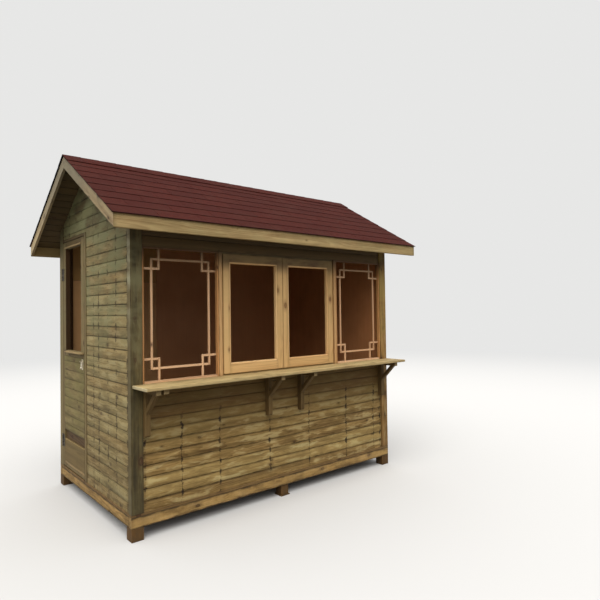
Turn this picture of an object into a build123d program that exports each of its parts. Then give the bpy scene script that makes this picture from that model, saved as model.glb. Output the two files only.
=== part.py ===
"""A wooden market hut with a counter shelf, two window sashes between two lattice bays and a side door.

Millimetres. X runs along the counter front, Y from the front to the rear, Z up.
The origin is on the ground under the middle of the hut, and the front faces -Y.
"""
import os
from math import cos, radians, tan

from build123d import *

os.makedirs("parts", exist_ok=True)

# Body of the hut, over its corner posts
body_length = 2740
body_depth = 1690
half_length = body_length / 2
half_depth = body_depth / 2

# Base: feet, sills and joists
foot_height = 92
corner_foot_width = 90
middle_foot_width = 76
pad_height = 8
pad_margin = 10
sill_height = 78
sill_thickness = 55
joist_width = 45
joist_spacing = 685
floor_thickness = 18
sill_top = foot_height + sill_height
floor_top = sill_top + floor_thickness

# Corner posts
front_post_width = 90
front_post_depth = 55
rear_post_width = 90
rear_post_depth = 100

# Walls: slabs as thick as the frame with its boards, set back a little from the faces of the posts
wall_setback = 12
gable_setback = 5
gable_thickness = 50
lining_thickness = 9
lining_drop = 5
sheet_gap = 1

# Counter shelf and its brackets
counter_height = 903
shelf_thickness = 21
shelf_reach = 235
shelf_shift = 11
post_notch_clearance = 1
bracket_width = 38
bracket_spacing = 356
leg_depth = 50
leg_length = 350
arm_height = 35
arm_reach = 215
strut_height = 190
strut_size = 32
leg_chamfer = 12

# Window bays, between the shelf and the header
window_height = 987
bay_width = 631
mullion_width = 32
mullion_depth = 52
mullion_setback = 3

# Lattice: a thin frame, and a ring of bars held off it by stubs that make a small square at each corner
lattice_setback = 8
lattice_depth = 28
lattice_side_width = 14
lattice_rail_height = 16
lattice_head_height = 12
bar_width = 17
bar_thickness = 11
bar_setback = 16
ring_margin_side = 56
ring_margin_foot = 79
ring_margin_head = 66
corner_width = 74
corner_height = 87

# Sashes, rebated all round
sash_setback = 5
sash_thickness = 36
sash_stile_width = 70
sash_bottom_height = 83
sash_top_height = 76
sash_rebate_width = 13
sash_rebate_depth = 15
meeting_gap = 4

# Side door, hung on the rear post of the left gable
jamb_width = 40
jamb_depth = 64
head_height = 24
stop_overlap = 12
stop_gap = 5
door_gap = 6
door_clearance = 12
door_width = 591
door_height = 2060
door_thickness = 40
door_stile_width = 80
top_rail_height = 60
lock_rail_rise = 1016
lock_rail_height = 52
cross_rail_rise = 252
cross_rail_height = 85
bottom_rail_height = 48
panel_thickness = 18
hinge_edge_width = 36
door_sill_length = 452
door_sill_reach = 34
door_sill_fall = 6
door_sill_lip = 10

# Door handle: a bow on a plate
plate_width = 38
plate_height = 90
plate_thickness = 3
plate_edge = 24
handle_rise = 965
grip_radius = 7
grip_length = 62
grip_standoff = 36
grip_bend = 14

# Door hinges
hinge_height = 110
low_hinge_rise = 230
high_hinge_drop = 295
hinge_leaf_width = 32
hinge_plate_thickness = 2.5
knuckles = 5
knuckle_radius = 6
knuckle_gap = 0.6
pin_radius = 3
pin_clearance = 0.3
hinge_plate_gap = 1

# Roof
roof_pitch = 30
eave_rise = 177
eave_overhang = 225
gable_overhang = 200
roof_board_thickness = 16
edge_board_thickness = 22
edge_board_depth = 98
shingle_thickness = 8
shingle_drip = 14
shingle_side = 10
cap_width = 140
cap_thickness = 5
rafter_width = 45
rafter_depth = 70
rafter_pairs = 4
rafter_slot_clearance = 1
ridge_board_thickness = 22
ridge_board_depth = 130

# Lines and planes that several pieces share
counter_top = floor_top + counter_height
window_head = counter_top + window_height
eave_edge = window_head + eave_rise
door_bottom = floor_top + door_clearance
door_top = door_bottom + door_height
slope = tan(radians(roof_pitch))
slope_cos = cos(radians(roof_pitch))
roof_half_depth = half_depth + eave_overhang
roof_half_length = half_length + gable_overhang
inner_half_depth = half_depth - front_post_depth
gable_inner = half_length - gable_setback - gable_thickness
shelf_under = counter_top - shelf_thickness
front_inner_length = half_length - front_post_width
rear_inner_length = half_length - rear_post_width
door_rear = half_depth - rear_post_depth - door_gap
door_front = door_rear - door_width
jamb_rear = door_front - door_gap
jamb_front = jamb_rear - jamb_width
head_low = door_top + door_gap
head_top = head_low + head_height
stop_face = -half_length + door_thickness + stop_gap
rafter_plumb = rafter_depth / slope_cos


def roof_top(y):
    """Height of the top of the roof boards at a distance y from the ridge."""
    return eave_edge + (roof_half_depth - abs(y)) * slope


def roof_under(y):
    """Height of the underside of the roof boards at y."""
    return roof_top(y) - roof_board_thickness / slope_cos


def rafter_under(y):
    """Height of the underside of the rafters at y."""
    return roof_under(y) - rafter_plumb


def save(piece, name):
    """Label a finished piece and write its STEP file."""
    piece.part.label = name
    export_step(piece.part, f"parts/{name}.step")


def upright(x_range, y_range, z_range):
    """A plain timber between two corners."""
    with BuildPart() as timber:
        with BuildSketch(Plane.XY.offset(z_range[0])):
            with Locations((sum(x_range) / 2, sum(y_range) / 2)):
                Rectangle(x_range[1] - x_range[0], y_range[1] - y_range[0])
        extrude(amount=z_range[1] - z_range[0])
    return timber


def across(outline, x_range):
    """An outline of (y, z) points, extruded along X."""
    with BuildPart() as prism:
        with BuildSketch(Plane.YZ.offset(x_range[0])):
            with BuildLine():
                Polyline(*outline, close=True)
            make_face()
        extrude(amount=x_range[1] - x_range[0])
    return prism


def mirrored(piece, plane):
    """The same piece on the other side of the hut."""
    with BuildPart() as twin:
        mirror(piece.part, about=plane)
    return twin


# Feet: four at the corners, and a smaller one on a thin pad in the middle of the front and the rear
foot_x = half_length - corner_foot_width / 2
foot_y = half_depth - corner_foot_width / 2
pad_size = middle_foot_width + 2 * pad_margin
pad_y = half_depth - pad_size / 2
with BuildPart() as feet:
    with BuildSketch():
        with Locations((foot_x, foot_y), (-foot_x, foot_y), (foot_x, -foot_y), (-foot_x, -foot_y)):
            Rectangle(corner_foot_width, corner_foot_width)
    extrude(amount=foot_height)
    with BuildSketch():
        with Locations((0, pad_y), (0, -pad_y)):
            Rectangle(pad_size, pad_size)
    extrude(amount=pad_height)
    with BuildSketch(Plane.XY.offset(pad_height)):
        with Locations((0, pad_y), (0, -pad_y)):
            Rectangle(middle_foot_width, middle_foot_width)
    extrude(amount=foot_height - pad_height)
save(feet, "feet")

# Sills: the long ones run from corner to corner, the side ones fit between them
sill_inner = half_depth - sill_thickness
front_sill = upright((-half_length, half_length), (-half_depth, -sill_inner), (foot_height, sill_top))
save(front_sill, "front_sill")
save(mirrored(front_sill, Plane.XZ), "rear_sill")
left_sill = upright((-half_length, -half_length + sill_thickness), (-sill_inner, sill_inner),
                    (foot_height, sill_top))
save(left_sill, "left_sill")
save(mirrored(left_sill, Plane.YZ), "right_sill")

# Floor joists, between the long sills
with BuildPart() as floor_joists:
    with BuildSketch(Plane.XY.offset(foot_height)):
        with GridLocations(joist_spacing, 0, 3, 1):
            Rectangle(joist_width, 2 * sill_inner)
    extrude(amount=sill_height)
save(floor_joists, "floor_joists")

# Floor deck, out to the faces of the sills
floor_deck = upright((-half_length, half_length), (-half_depth, half_depth), (sill_top, floor_top))
save(floor_deck, "floor_deck")


# Corner posts, from the floor deck up to the roof boards
def corner_post(width, y_outer, y_inner):
    """A post at the left corner, with its top cut to the slope of the roof."""
    outline = [(y_outer, floor_top), (y_inner, floor_top), (y_inner, roof_under(y_inner)),
               (y_outer, roof_under(y_outer))]
    return across(outline, (-half_length, -half_length + width))


post_front_left = corner_post(front_post_width, -half_depth, -inner_half_depth)
save(post_front_left, "post_front_left")
save(mirrored(post_front_left, Plane.YZ), "post_front_right")
post_rear_left = corner_post(rear_post_width, half_depth, half_depth - rear_post_depth)
save(post_rear_left, "post_rear_left")
save(mirrored(post_rear_left, Plane.YZ), "post_rear_right")

# Rafters, notched over the long walls
rafter_seat = rafter_under(inner_half_depth)
rafter_tail = roof_half_depth - edge_board_thickness
rafter_heel = half_depth - wall_setback
ridge_face = ridge_board_thickness / 2
rafter_span = 2 * min(front_inner_length, rear_inner_length) - rafter_width
rafter_pitch = rafter_span / (rafter_pairs - 1)
rafter_outline = [
    (-rafter_tail, roof_under(rafter_tail)),
    (-ridge_face, roof_under(ridge_face)),
    (-ridge_face, rafter_under(ridge_face)),
    (-inner_half_depth, rafter_seat),
    (-rafter_heel, rafter_seat),
    (-rafter_heel, rafter_under(rafter_heel)),
    (-rafter_tail, rafter_under(rafter_tail)),
]
with BuildPart() as rafters:
    for pair in range(rafter_pairs):
        middle = -rafter_span / 2 + pair * rafter_pitch
        with BuildSketch(Plane.YZ.offset(middle - rafter_width / 2)):
            with BuildLine():
                Polyline(*rafter_outline, close=True)
            make_face()
        extrude(amount=rafter_width)
    mirror(about=Plane.XZ)
save(rafters, "rafters")

# Ridge board, between the rafters of each pair and from gable to gable
ridge_board = upright((-gable_inner, gable_inner), (-ridge_face, ridge_face),
                      (roof_under(ridge_face) - ridge_board_depth, roof_under(ridge_face)))
save(ridge_board, "ridge_board")


# Long walls reach the roof boards, and each rafter sits in a slot of the wall
def long_wall(half_span, z_low):
    """A slab on the front side, slotted for the rafters at its top."""
    slot_width = rafter_width + 2 * rafter_slot_clearance
    outline = [(-rafter_heel, z_low), (-inner_half_depth, z_low),
               (-inner_half_depth, roof_under(inner_half_depth)), (-rafter_heel, roof_under(rafter_heel))]
    with BuildPart() as slab:
        with BuildSketch(Plane.YZ.offset(-half_span)):
            with BuildLine():
                Polyline(*outline, close=True)
            make_face()
        extrude(amount=2 * half_span)
        with BuildSketch(Plane.XY.offset(rafter_seat)):
            with Locations((0, -(rafter_heel + inner_half_depth) / 2)):
                with GridLocations(rafter_pitch, 0, rafter_pairs, 1):
                    Rectangle(slot_width, 2 * (rafter_heel - inner_half_depth))
        extrude(amount=rafter_plumb + roof_board_thickness, mode=Mode.SUBTRACT)
    return slab


front_header = long_wall(front_inner_length, window_head)
save(front_header, "front_header")
rear_slab = long_wall(rear_inner_length, floor_top)
save(mirrored(rear_slab, Plane.XZ), "rear_wall")

# Front wall under the counter
front_wall = upright((-front_inner_length, front_inner_length), (-rafter_heel, -inner_half_depth),
                     (floor_top, shelf_under))
save(front_wall, "front_wall")

# Gable walls: the right one is whole, the left one stands beside the door and goes on over it
gable_x = (half_length - gable_setback - gable_thickness, half_length - gable_setback)
gable_rear = half_depth - rear_post_depth
right_outline = [
    (-inner_half_depth, floor_top),
    (gable_rear, floor_top),
    (gable_rear, roof_under(gable_rear)),
    (0, roof_under(0)),
    (-inner_half_depth, roof_under(inner_half_depth)),
]
right_wall = across(right_outline, gable_x)
save(right_wall, "right_wall")

left_x = (-gable_x[1], -gable_x[0])
left_outline = [
    (-inner_half_depth, floor_top),
    (jamb_front, floor_top),
    (jamb_front, roof_under(jamb_front)),
    (0, roof_under(0)),
    (-inner_half_depth, roof_under(inner_half_depth)),
]
left_wall = across(left_outline, left_x)
save(left_wall, "left_wall")

over_door = [
    (jamb_front, head_top),
    (gable_rear, head_top),
    (gable_rear, roof_under(gable_rear)),
    (jamb_front, roof_under(jamb_front)),
]
left_gable = across(over_door, left_x)
save(left_gable, "left_gable")

# Lining: one sheet inside each wall, up to just under the seats of the rafters
lining_top = rafter_seat - lining_drop
lining_x = gable_inner - lining_thickness
lining_y = inner_half_depth - lining_thickness
with BuildPart() as wall_lining:
    with BuildSketch(Plane.XY.offset(floor_top)):
        with Locations((0, inner_half_depth - lining_thickness / 2)):
            Rectangle(2 * rear_inner_length, lining_thickness)
        with Locations((gable_inner - lining_thickness / 2, (gable_rear - lining_y + sheet_gap) / 2)):
            Rectangle(lining_thickness, gable_rear + lining_y - sheet_gap)
        with Locations((-gable_inner + lining_thickness / 2, (jamb_front - lining_y + sheet_gap) / 2)):
            Rectangle(lining_thickness, jamb_front + lining_y - sheet_gap)
    extrude(amount=lining_top - floor_top)
    with BuildSketch(Plane.XY.offset(floor_top)):
        with Locations((0, -inner_half_depth + lining_thickness / 2)):
            Rectangle(2 * (lining_x - sheet_gap), lining_thickness)
    extrude(amount=shelf_under - floor_top)
save(wall_lining, "wall_lining")

# Counter shelf, notched round the corner posts and running in under the window frames
shelf_inner = inner_half_depth - lining_thickness
notch_x = front_inner_length - post_notch_clearance
with BuildPart() as counter_shelf:
    with BuildSketch(Plane.XY.offset(shelf_under)):
        with BuildLine():
            Polyline(
                (-half_length + shelf_shift, -half_depth - shelf_reach),
                (half_length + shelf_shift, -half_depth - shelf_reach),
                (half_length + shelf_shift, -half_depth),
                (notch_x, -half_depth),
                (notch_x, -shelf_inner),
                (-notch_x, -shelf_inner),
                (-notch_x, -half_depth),
                (-half_length + shelf_shift, -half_depth),
                close=True,
            )
        make_face()
    extrude(amount=shelf_thickness)
save(counter_shelf, "counter_shelf")

# Shelf brackets: a leg on the wall, an arm under the shelf and a strut between them
leg_front = -rafter_heel - leg_depth
arm_under = shelf_under - arm_height
strut_low = (leg_front, shelf_under - strut_height)
strut_run = arm_under - strut_low[1]
strut_edge = strut_size / cos(radians(45))


def shelf_bracket(middle):
    """One bracket, centred on middle."""
    with BuildPart() as bracket:
        with BuildSketch(Plane.YZ.offset(middle - bracket_width / 2)):
            with Locations((-rafter_heel - leg_depth / 2, shelf_under - leg_length / 2)):
                Rectangle(leg_depth, leg_length)
            with Locations(((-half_depth - arm_reach - rafter_heel) / 2, shelf_under - arm_height / 2)):
                Rectangle(half_depth + arm_reach - rafter_heel, arm_height)
            with BuildLine():
                Polyline(strut_low, (leg_front, strut_low[1] + strut_edge),
                         (leg_front - strut_run + strut_edge, arm_under),
                         (leg_front - strut_run, arm_under), close=True)
            make_face()
        extrude(amount=bracket_width)
        foot_edge = bracket.edges().filter_by(Axis.X).group_by(Axis.Z)[0].sort_by(Axis.Y)[0]
        chamfer(foot_edge, leg_chamfer)
    return bracket


end_bracket = front_inner_length - bracket_width / 2
middle_bracket = bracket_spacing / 2
for number, middle in enumerate((-end_bracket, -middle_bracket, middle_bracket, end_bracket), start=1):
    save(shelf_bracket(middle), f"shelf_bracket_{number}")

# Mullions, between each lattice bay and the sashes
mullion_outer = front_inner_length - bay_width
mullion_inner = mullion_outer - mullion_width
mullion_face = -half_depth + mullion_setback
mullion_left = upright((-mullion_outer, -mullion_inner), (mullion_face, mullion_face + mullion_depth),
                       (counter_top, window_head))
save(mullion_left, "mullion_left")
save(mirrored(mullion_left, Plane.YZ), "mullion_right")

# Lattice bays
frame_low = counter_top + lattice_rail_height
frame_high = window_head - lattice_head_height
ring_width = bay_width - 2 * (lattice_side_width + ring_margin_side)
ring_low = frame_low + ring_margin_foot
ring_high = frame_high - ring_margin_head
ring_height = ring_high - ring_low
bay_middle = front_inner_length - bay_width / 2
stub_end_x = ring_width / 2 - corner_width + bar_width
stub_end_z = ring_height / 2 - corner_height + bar_width
frame_half_width = bay_width / 2 - lattice_side_width
ring_centre = (ring_low + ring_high) / 2


def lattice(middle):
    """One lattice bay: the frame, the ring of bars and the stubs that hold the ring."""
    frame_face = half_depth - lattice_setback
    with BuildPart() as bay:
        with BuildSketch(Plane.XZ.offset(frame_face)):
            with Locations((middle, (counter_top + window_head) / 2)):
                Rectangle(bay_width, window_height)
            with Locations((middle, (frame_low + frame_high) / 2)):
                Rectangle(2 * frame_half_width, frame_high - frame_low, mode=Mode.SUBTRACT)
        extrude(amount=-lattice_depth)
        with BuildSketch(Plane.XZ.offset(frame_face - bar_setback)):
            with Locations((middle, ring_centre)):
                Rectangle(ring_width, ring_height)
                Rectangle(ring_width - 2 * bar_width, ring_height - 2 * bar_width, mode=Mode.SUBTRACT)
            for side in (-1, 1):
                for end in (-1, 1):
                    stub_z = ring_centre + end * (stub_end_z - bar_width / 2)
                    stub_x = middle + side * (stub_end_x - bar_width / 2)
                    stub_long = frame_half_width - stub_end_x + bar_width
                    stub_tall = corner_height + (ring_margin_foot if end < 0 else ring_margin_head)
                    frame_end = frame_low if end < 0 else frame_high
                    with Locations((middle + side * (frame_half_width - stub_long / 2), stub_z)):
                        Rectangle(stub_long, bar_width)
                    with Locations((stub_x, frame_end - end * stub_tall / 2)):
                        Rectangle(bar_width, stub_tall)
        extrude(amount=-bar_thickness)
    return bay


save(lattice(-bay_middle), "lattice_left")
save(lattice(bay_middle), "lattice_right")

# Sashes: the back of each fills its half of the opening, and its face is smaller by the rebate
sash_face = half_depth - sash_setback
sash_low = counter_top + sash_rebate_width
sash_high = window_head - sash_rebate_width
pane_low = sash_low + sash_bottom_height
pane_high = sash_high - sash_top_height
sash_outer = -mullion_inner + sash_rebate_width
sash_inner = -meeting_gap / 2
pane_left = sash_outer + sash_stile_width
pane_right = sash_inner - sash_stile_width
with BuildPart() as sash_left:
    with BuildSketch(Plane.XZ.offset(sash_face)):
        with Locations(((sash_outer + sash_inner) / 2, (sash_low + sash_high) / 2)):
            Rectangle(sash_inner - sash_outer, sash_high - sash_low)
    extrude(amount=-sash_rebate_depth)
    with BuildSketch(Plane.XZ.offset(sash_face - sash_rebate_depth)):
        with Locations(((sash_inner - mullion_inner) / 2, (counter_top + window_head) / 2)):
            Rectangle(sash_inner + mullion_inner, window_height)
    extrude(amount=sash_rebate_depth - sash_thickness)
    with BuildSketch(Plane.XZ.offset(sash_face)):
        with Locations(((pane_left + pane_right) / 2, (pane_low + pane_high) / 2)):
            Rectangle(pane_right - pane_left, pane_high - pane_low)
    extrude(amount=-sash_thickness, mode=Mode.SUBTRACT)
save(sash_left, "sash_left")
save(mirrored(sash_left, Plane.YZ), "sash_right")

# Door frame: a jamb and a head, each with a stop behind the door
jamb_back = -half_length + jamb_depth
stop_edge = jamb_rear + stop_overlap
with BuildPart() as door_jamb:
    with BuildSketch(Plane.XY.offset(floor_top)):
        with BuildLine():
            Polyline(
                (-half_length, jamb_front),
                (jamb_back, jamb_front),
                (jamb_back, stop_edge),
                (stop_face, stop_edge),
                (stop_face, jamb_rear),
                (-half_length, jamb_rear),
                close=True,
            )
        make_face()
    extrude(amount=head_top - floor_top)
save(door_jamb, "door_jamb")

head_front = jamb_rear
with BuildPart() as door_head:
    with BuildSketch(Plane.XZ.offset(-head_front)):
        with BuildLine():
            Polyline(
                (-half_length, head_low),
                (stop_face, head_low),
                (stop_face, head_low - stop_overlap),
                (jamb_back, head_low - stop_overlap),
                (jamb_back, head_top),
                (-half_length, head_top),
                close=True,
            )
        make_face()
    extrude(amount=head_front - gable_rear)
    with BuildSketch(Plane.XY.offset(head_low - stop_overlap)):
        with Locations(((stop_face + jamb_back) / 2, head_front + stop_overlap / 2)):
            Rectangle(jamb_back - stop_face, stop_overlap)
    extrude(amount=head_top - head_low + stop_overlap, mode=Mode.SUBTRACT)
save(door_head, "door_head")

# Door leaf: two stiles and four rails round the window, with a rebate in its outer face for the boards,
# and a sloped sill under the window
leaf_middle = (door_front + door_rear) / 2
leaf_opening = door_width - 2 * door_stile_width
kick_low = door_bottom + bottom_rail_height
cross_rail_low = door_bottom + cross_rail_rise
cross_rail_top = cross_rail_low + cross_rail_height
lock_rail_low = door_bottom + lock_rail_rise
window_low = lock_rail_low + lock_rail_height
window_high = door_top - top_rail_height
panel_spans = ((kick_low, cross_rail_low), (cross_rail_top, lock_rail_low))
board_rear = door_rear - hinge_edge_width
board_middle = (door_front + board_rear) / 2
board_width = board_rear - door_front
door_sill_low = window_low - door_sill_fall - door_sill_lip
door_sill_edge = -half_length - door_sill_reach
with BuildPart() as door_leaf:
    with BuildSketch(Plane.YZ.offset(-half_length)):
        with Locations((leaf_middle, (door_bottom + door_top) / 2)):
            Rectangle(door_width, door_height)
        for low, high in panel_spans + ((window_low, window_high),):
            with Locations((leaf_middle, (low + high) / 2)):
                Rectangle(leaf_opening, high - low, mode=Mode.SUBTRACT)
    extrude(amount=door_thickness)
    with BuildSketch(Plane.YZ.offset(-half_length)):
        with Locations((board_middle, (kick_low + lock_rail_low) / 2)):
            Rectangle(board_width, lock_rail_low - kick_low)
    extrude(amount=panel_thickness, mode=Mode.SUBTRACT)
    with BuildSketch(Plane.XZ.offset(-door_front)):
        with BuildLine():
            Polyline(
                (-half_length, window_low),
                (door_sill_edge, window_low - door_sill_fall),
                (door_sill_edge, door_sill_low),
                (-half_length, door_sill_low),
                close=True,
            )
        make_face()
    extrude(amount=-door_sill_length)
save(door_leaf, "door_leaf")

# Door panels: the boards lie in the rebate, over the front stile, and leave the cross rail open
with BuildPart() as door_panel:
    with BuildSketch(Plane.YZ.offset(-half_length)):
        for low, high in panel_spans:
            with Locations((board_middle, (low + high) / 2)):
                Rectangle(board_width, high - low)
    extrude(amount=panel_thickness)
save(door_panel, "door_panel")

# Door handle: a plate and a bow on each face of the front stile
plate_middle = door_front + plate_edge + plate_width / 2
handle_height = door_bottom + handle_rise
handle_low = handle_height - grip_length / 2
handle_high = handle_height + grip_length / 2
inner_face = -half_length + door_thickness


def handle_side(face, outward):
    """The plate and bow on one face, which points along outward (-1 or 1)."""
    grip_x = face + outward * grip_standoff
    with BuildPart() as side:
        with BuildSketch(Plane.YZ.offset(face)):
            with Locations((plate_middle, handle_height)):
                RectangleRounded(plate_width, plate_height, plate_width / 4)
        extrude(amount=outward * plate_thickness)
        with BuildLine(Plane.XZ.offset(-plate_middle)) as bow:
            FilletPolyline(
                (face, handle_low),
                (grip_x, handle_low),
                (grip_x, handle_high),
                (face, handle_high),
                radius=grip_bend,
            )
        with BuildSketch(Plane(origin=bow.line @ 0, z_dir=bow.line % 0)):
            Circle(grip_radius)
        sweep(path=bow.line)
    return side


outer_handle = handle_side(-half_length, -1)
inner_handle = handle_side(inner_face, 1)
with BuildPart() as door_handle:
    add(outer_handle.part)
    add(inner_handle.part)
save(door_handle, "door_handle")

# Door hinges, on the outer faces of the post and the rear stile, round the pin line
pin_x = -half_length - knuckle_radius
pin_y = door_rear + door_gap / 2
knuckle_step = hinge_height / knuckles
plate_x = -half_length - hinge_plate_thickness / 2
plate_start = knuckle_radius + hinge_plate_gap
plate_centre = plate_start + hinge_leaf_width / 2
hinge_levels = (door_bottom + low_hinge_rise, door_top - high_hinge_drop)


def hinge_half(side, turns, bored):
    """The leaf plates and knuckles on one side of the pin line, at both hinges."""
    with BuildPart() as half:
        for level in hinge_levels:
            low = level - hinge_height / 2
            with BuildSketch(Plane.XY.offset(low)):
                with Locations((plate_x, pin_y + side * plate_centre)):
                    Rectangle(hinge_plate_thickness, hinge_leaf_width)
            extrude(amount=hinge_height)
            for turn in turns:
                with BuildSketch(Plane.XY.offset(low + turn * knuckle_step + knuckle_gap / 2)):
                    with Locations((pin_x, pin_y)):
                        Circle(knuckle_radius)
                    with Locations((plate_x, pin_y + side * plate_start / 2)):
                        Rectangle(hinge_plate_thickness, plate_start)
                    if bored:
                        with Locations((pin_x, pin_y)):
                            Circle(pin_radius + pin_clearance, mode=Mode.SUBTRACT)
                extrude(amount=knuckle_step - knuckle_gap)
            if not bored:
                with BuildSketch(Plane.XY.offset(low)):
                    with Locations((pin_x, pin_y)):
                        Circle(pin_radius)
                extrude(amount=hinge_height)
    return half


hinge_fixed = hinge_half(1, range(0, knuckles, 2), False)
save(hinge_fixed, "hinge_fixed")
hinge_moving = hinge_half(-1, range(1, knuckles, 2), True)
save(hinge_moving, "hinge_moving")

# Roof boards, between the bargeboards and up to the ridge
board_half_length = roof_half_length - edge_board_thickness
board_outline = [(-rafter_tail, roof_top(rafter_tail)), (0, roof_top(0)), (0, roof_under(0)),
                 (-rafter_tail, roof_under(rafter_tail))]
front_roof_boards = across(board_outline, (-board_half_length, board_half_length))
save(front_roof_boards, "front_roof_boards")
save(mirrored(front_roof_boards, Plane.XZ), "rear_roof_boards")

# Fascias and bargeboards, mitred where they meet at the corners of the roof
mitre_left = Plane(origin=(-roof_half_length, -roof_half_depth, 0), z_dir=(1, -1, 0))
mitre_right = Plane(origin=(roof_half_length, -roof_half_depth, 0), z_dir=(-1, -1, 0))
edge_low = eave_edge - edge_board_depth
fascia_outline = [(-roof_half_depth, edge_low), (-roof_half_depth, eave_edge),
                  (-rafter_tail, roof_top(rafter_tail)), (-rafter_tail, edge_low)]
with BuildPart() as front_fascia:
    with BuildSketch(Plane.YZ.offset(-roof_half_length)):
        with BuildLine():
            Polyline(*fascia_outline, close=True)
        make_face()
    extrude(amount=2 * roof_half_length)
    split(bisect_by=mitre_left, keep=Keep.TOP)
    split(bisect_by=mitre_right, keep=Keep.TOP)
save(front_fascia, "front_fascia")
save(mirrored(front_fascia, Plane.XZ), "rear_fascia")

barge_outline = [(-roof_half_depth, eave_edge), (0, roof_top(0)), (0, roof_top(0) - edge_board_depth),
                 (-roof_half_depth, edge_low)]
with BuildPart() as bargeboard:
    with BuildSketch(Plane.YZ.offset(-roof_half_length)):
        with BuildLine():
            Polyline(*barge_outline, close=True)
        make_face()
    extrude(amount=edge_board_thickness)
    split(bisect_by=mitre_left, keep=Keep.BOTTOM)
save(bargeboard, "bargeboard_left_front")
left_rear_barge = mirrored(bargeboard, Plane.XZ)
save(left_rear_barge, "bargeboard_left_rear")
save(mirrored(bargeboard, Plane.YZ), "bargeboard_right_front")
save(mirrored(left_rear_barge, Plane.YZ), "bargeboard_right_rear")

# Shingles, over the boards and a little past the fascias and bargeboards
shingle_edge = roof_half_depth + shingle_drip
shingle_plumb = shingle_thickness / slope_cos
shingle_outline = [
    (-shingle_edge, roof_top(shingle_edge)),
    (0, roof_top(0)),
    (0, roof_top(0) + shingle_plumb),
    (-shingle_edge, roof_top(shingle_edge) + shingle_plumb),
]
shingle_half_length = roof_half_length + shingle_side
front_shingles = across(shingle_outline, (-shingle_half_length, shingle_half_length))
save(front_shingles, "front_shingles")
save(mirrored(front_shingles, Plane.XZ), "rear_shingles")

# Ridge cap, folded over the top of the shingles
cap_base = roof_top(0) + shingle_plumb
cap_drop = cap_width * slope_cos * slope
cap_run = cap_width * slope_cos
cap_plumb = cap_thickness / slope_cos
cap_outline = [(-cap_run, cap_base - cap_drop), (0, cap_base), (cap_run, cap_base - cap_drop),
               (cap_run, cap_base - cap_drop + cap_plumb), (0, cap_base + cap_plumb),
               (-cap_run, cap_base - cap_drop + cap_plumb)]
ridge_cap = across(cap_outline, (-shingle_half_length, shingle_half_length))
save(ridge_cap, "ridge_cap")
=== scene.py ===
# %% [markdown]
# # A wooden market hut
# A small sales hut of softwood stands on short feet. It has a boarded body, a counter shelf, two window sashes between
# two lattice bays, a door in its left gable and a shingled roof. The CAD model gives every piece its place and size.
# This lesson dresses it: each wall slab becomes single boards, each slab of roof becomes shingles, and every timber
# gets its own run of grain. Lengths are metres, X runs along the counter front, Y to the rear and Z up.
# %% Load the frame
import math
import random

import bmesh
import bpy
import numpy as np
from mathutils import Matrix, Vector


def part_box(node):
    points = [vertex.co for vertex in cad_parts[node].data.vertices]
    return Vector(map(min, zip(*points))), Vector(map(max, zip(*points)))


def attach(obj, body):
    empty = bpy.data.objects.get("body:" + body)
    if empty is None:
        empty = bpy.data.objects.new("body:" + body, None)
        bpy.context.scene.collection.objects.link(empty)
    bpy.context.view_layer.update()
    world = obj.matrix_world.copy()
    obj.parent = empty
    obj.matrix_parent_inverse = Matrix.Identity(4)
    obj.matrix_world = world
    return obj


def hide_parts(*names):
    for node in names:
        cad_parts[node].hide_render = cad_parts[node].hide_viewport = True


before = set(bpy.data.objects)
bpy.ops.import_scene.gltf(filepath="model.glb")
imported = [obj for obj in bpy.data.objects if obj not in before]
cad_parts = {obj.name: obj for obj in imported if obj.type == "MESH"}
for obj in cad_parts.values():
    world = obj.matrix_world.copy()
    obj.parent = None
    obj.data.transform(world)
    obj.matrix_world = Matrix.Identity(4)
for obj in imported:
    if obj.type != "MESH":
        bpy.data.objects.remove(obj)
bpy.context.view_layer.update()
scene = bpy.context.scene
chance = random.Random(27)
X, Y, Z = Vector((1, 0, 0)), Vector((0, 1, 0)), Vector((0, 0, 1))

# %% [markdown]
# ## Camera
# The picture of a real building fixes the eye that saw it: the edges of the front, the gable and the sill run to their
# vanishing points, and those give the lens and the turn of the camera. A camera could be pointed by hand instead, but
# then every edge would be a little off. So the solved place, turn and lens are set here as they are.
# %% Camera
CAMERA_PLACE = Vector((-2.7839, -4.3406, 1.60))
YAW, PITCH, ROLL = (math.radians(angle) for angle in (49.579, 1.203, -0.781))
FOCAL_PIXELS = 510.787
PICTURE_WIDTH = 600
SENSOR_WIDTH = 36

ahead = Vector((math.cos(YAW) * math.cos(PITCH), math.sin(YAW) * math.cos(PITCH), math.sin(PITCH)))
level = Vector((math.sin(YAW), -math.cos(YAW), 0))
over = level.cross(ahead)
camera_right = math.cos(ROLL) * level + math.sin(ROLL) * over
camera_up = math.cos(ROLL) * over - math.sin(ROLL) * level
bpy.ops.object.camera_add(location=CAMERA_PLACE)
camera = bpy.context.object
camera.data.sensor_width = SENSOR_WIDTH
camera.data.lens = SENSOR_WIDTH * FOCAL_PIXELS / PICTURE_WIDTH
turn = Matrix((camera_right, camera_up, -ahead)).transposed().to_4x4()
camera.matrix_world = Matrix.Translation(CAMERA_PLACE) @ turn
scene.camera = camera
print("camera lens", round(camera.data.lens, 2), "mm")

# %% [markdown]
# ## Tools for shader nodes
# A procedural finish is a chain of small steps. Each step could be clicked together by hand. In code, one short helper
# makes a node, sets its values and joins its wires, so that the finishes below read like recipes.
# %% Node helpers
WOOD = (0.5, 0.4, 0.3, 1)


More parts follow.
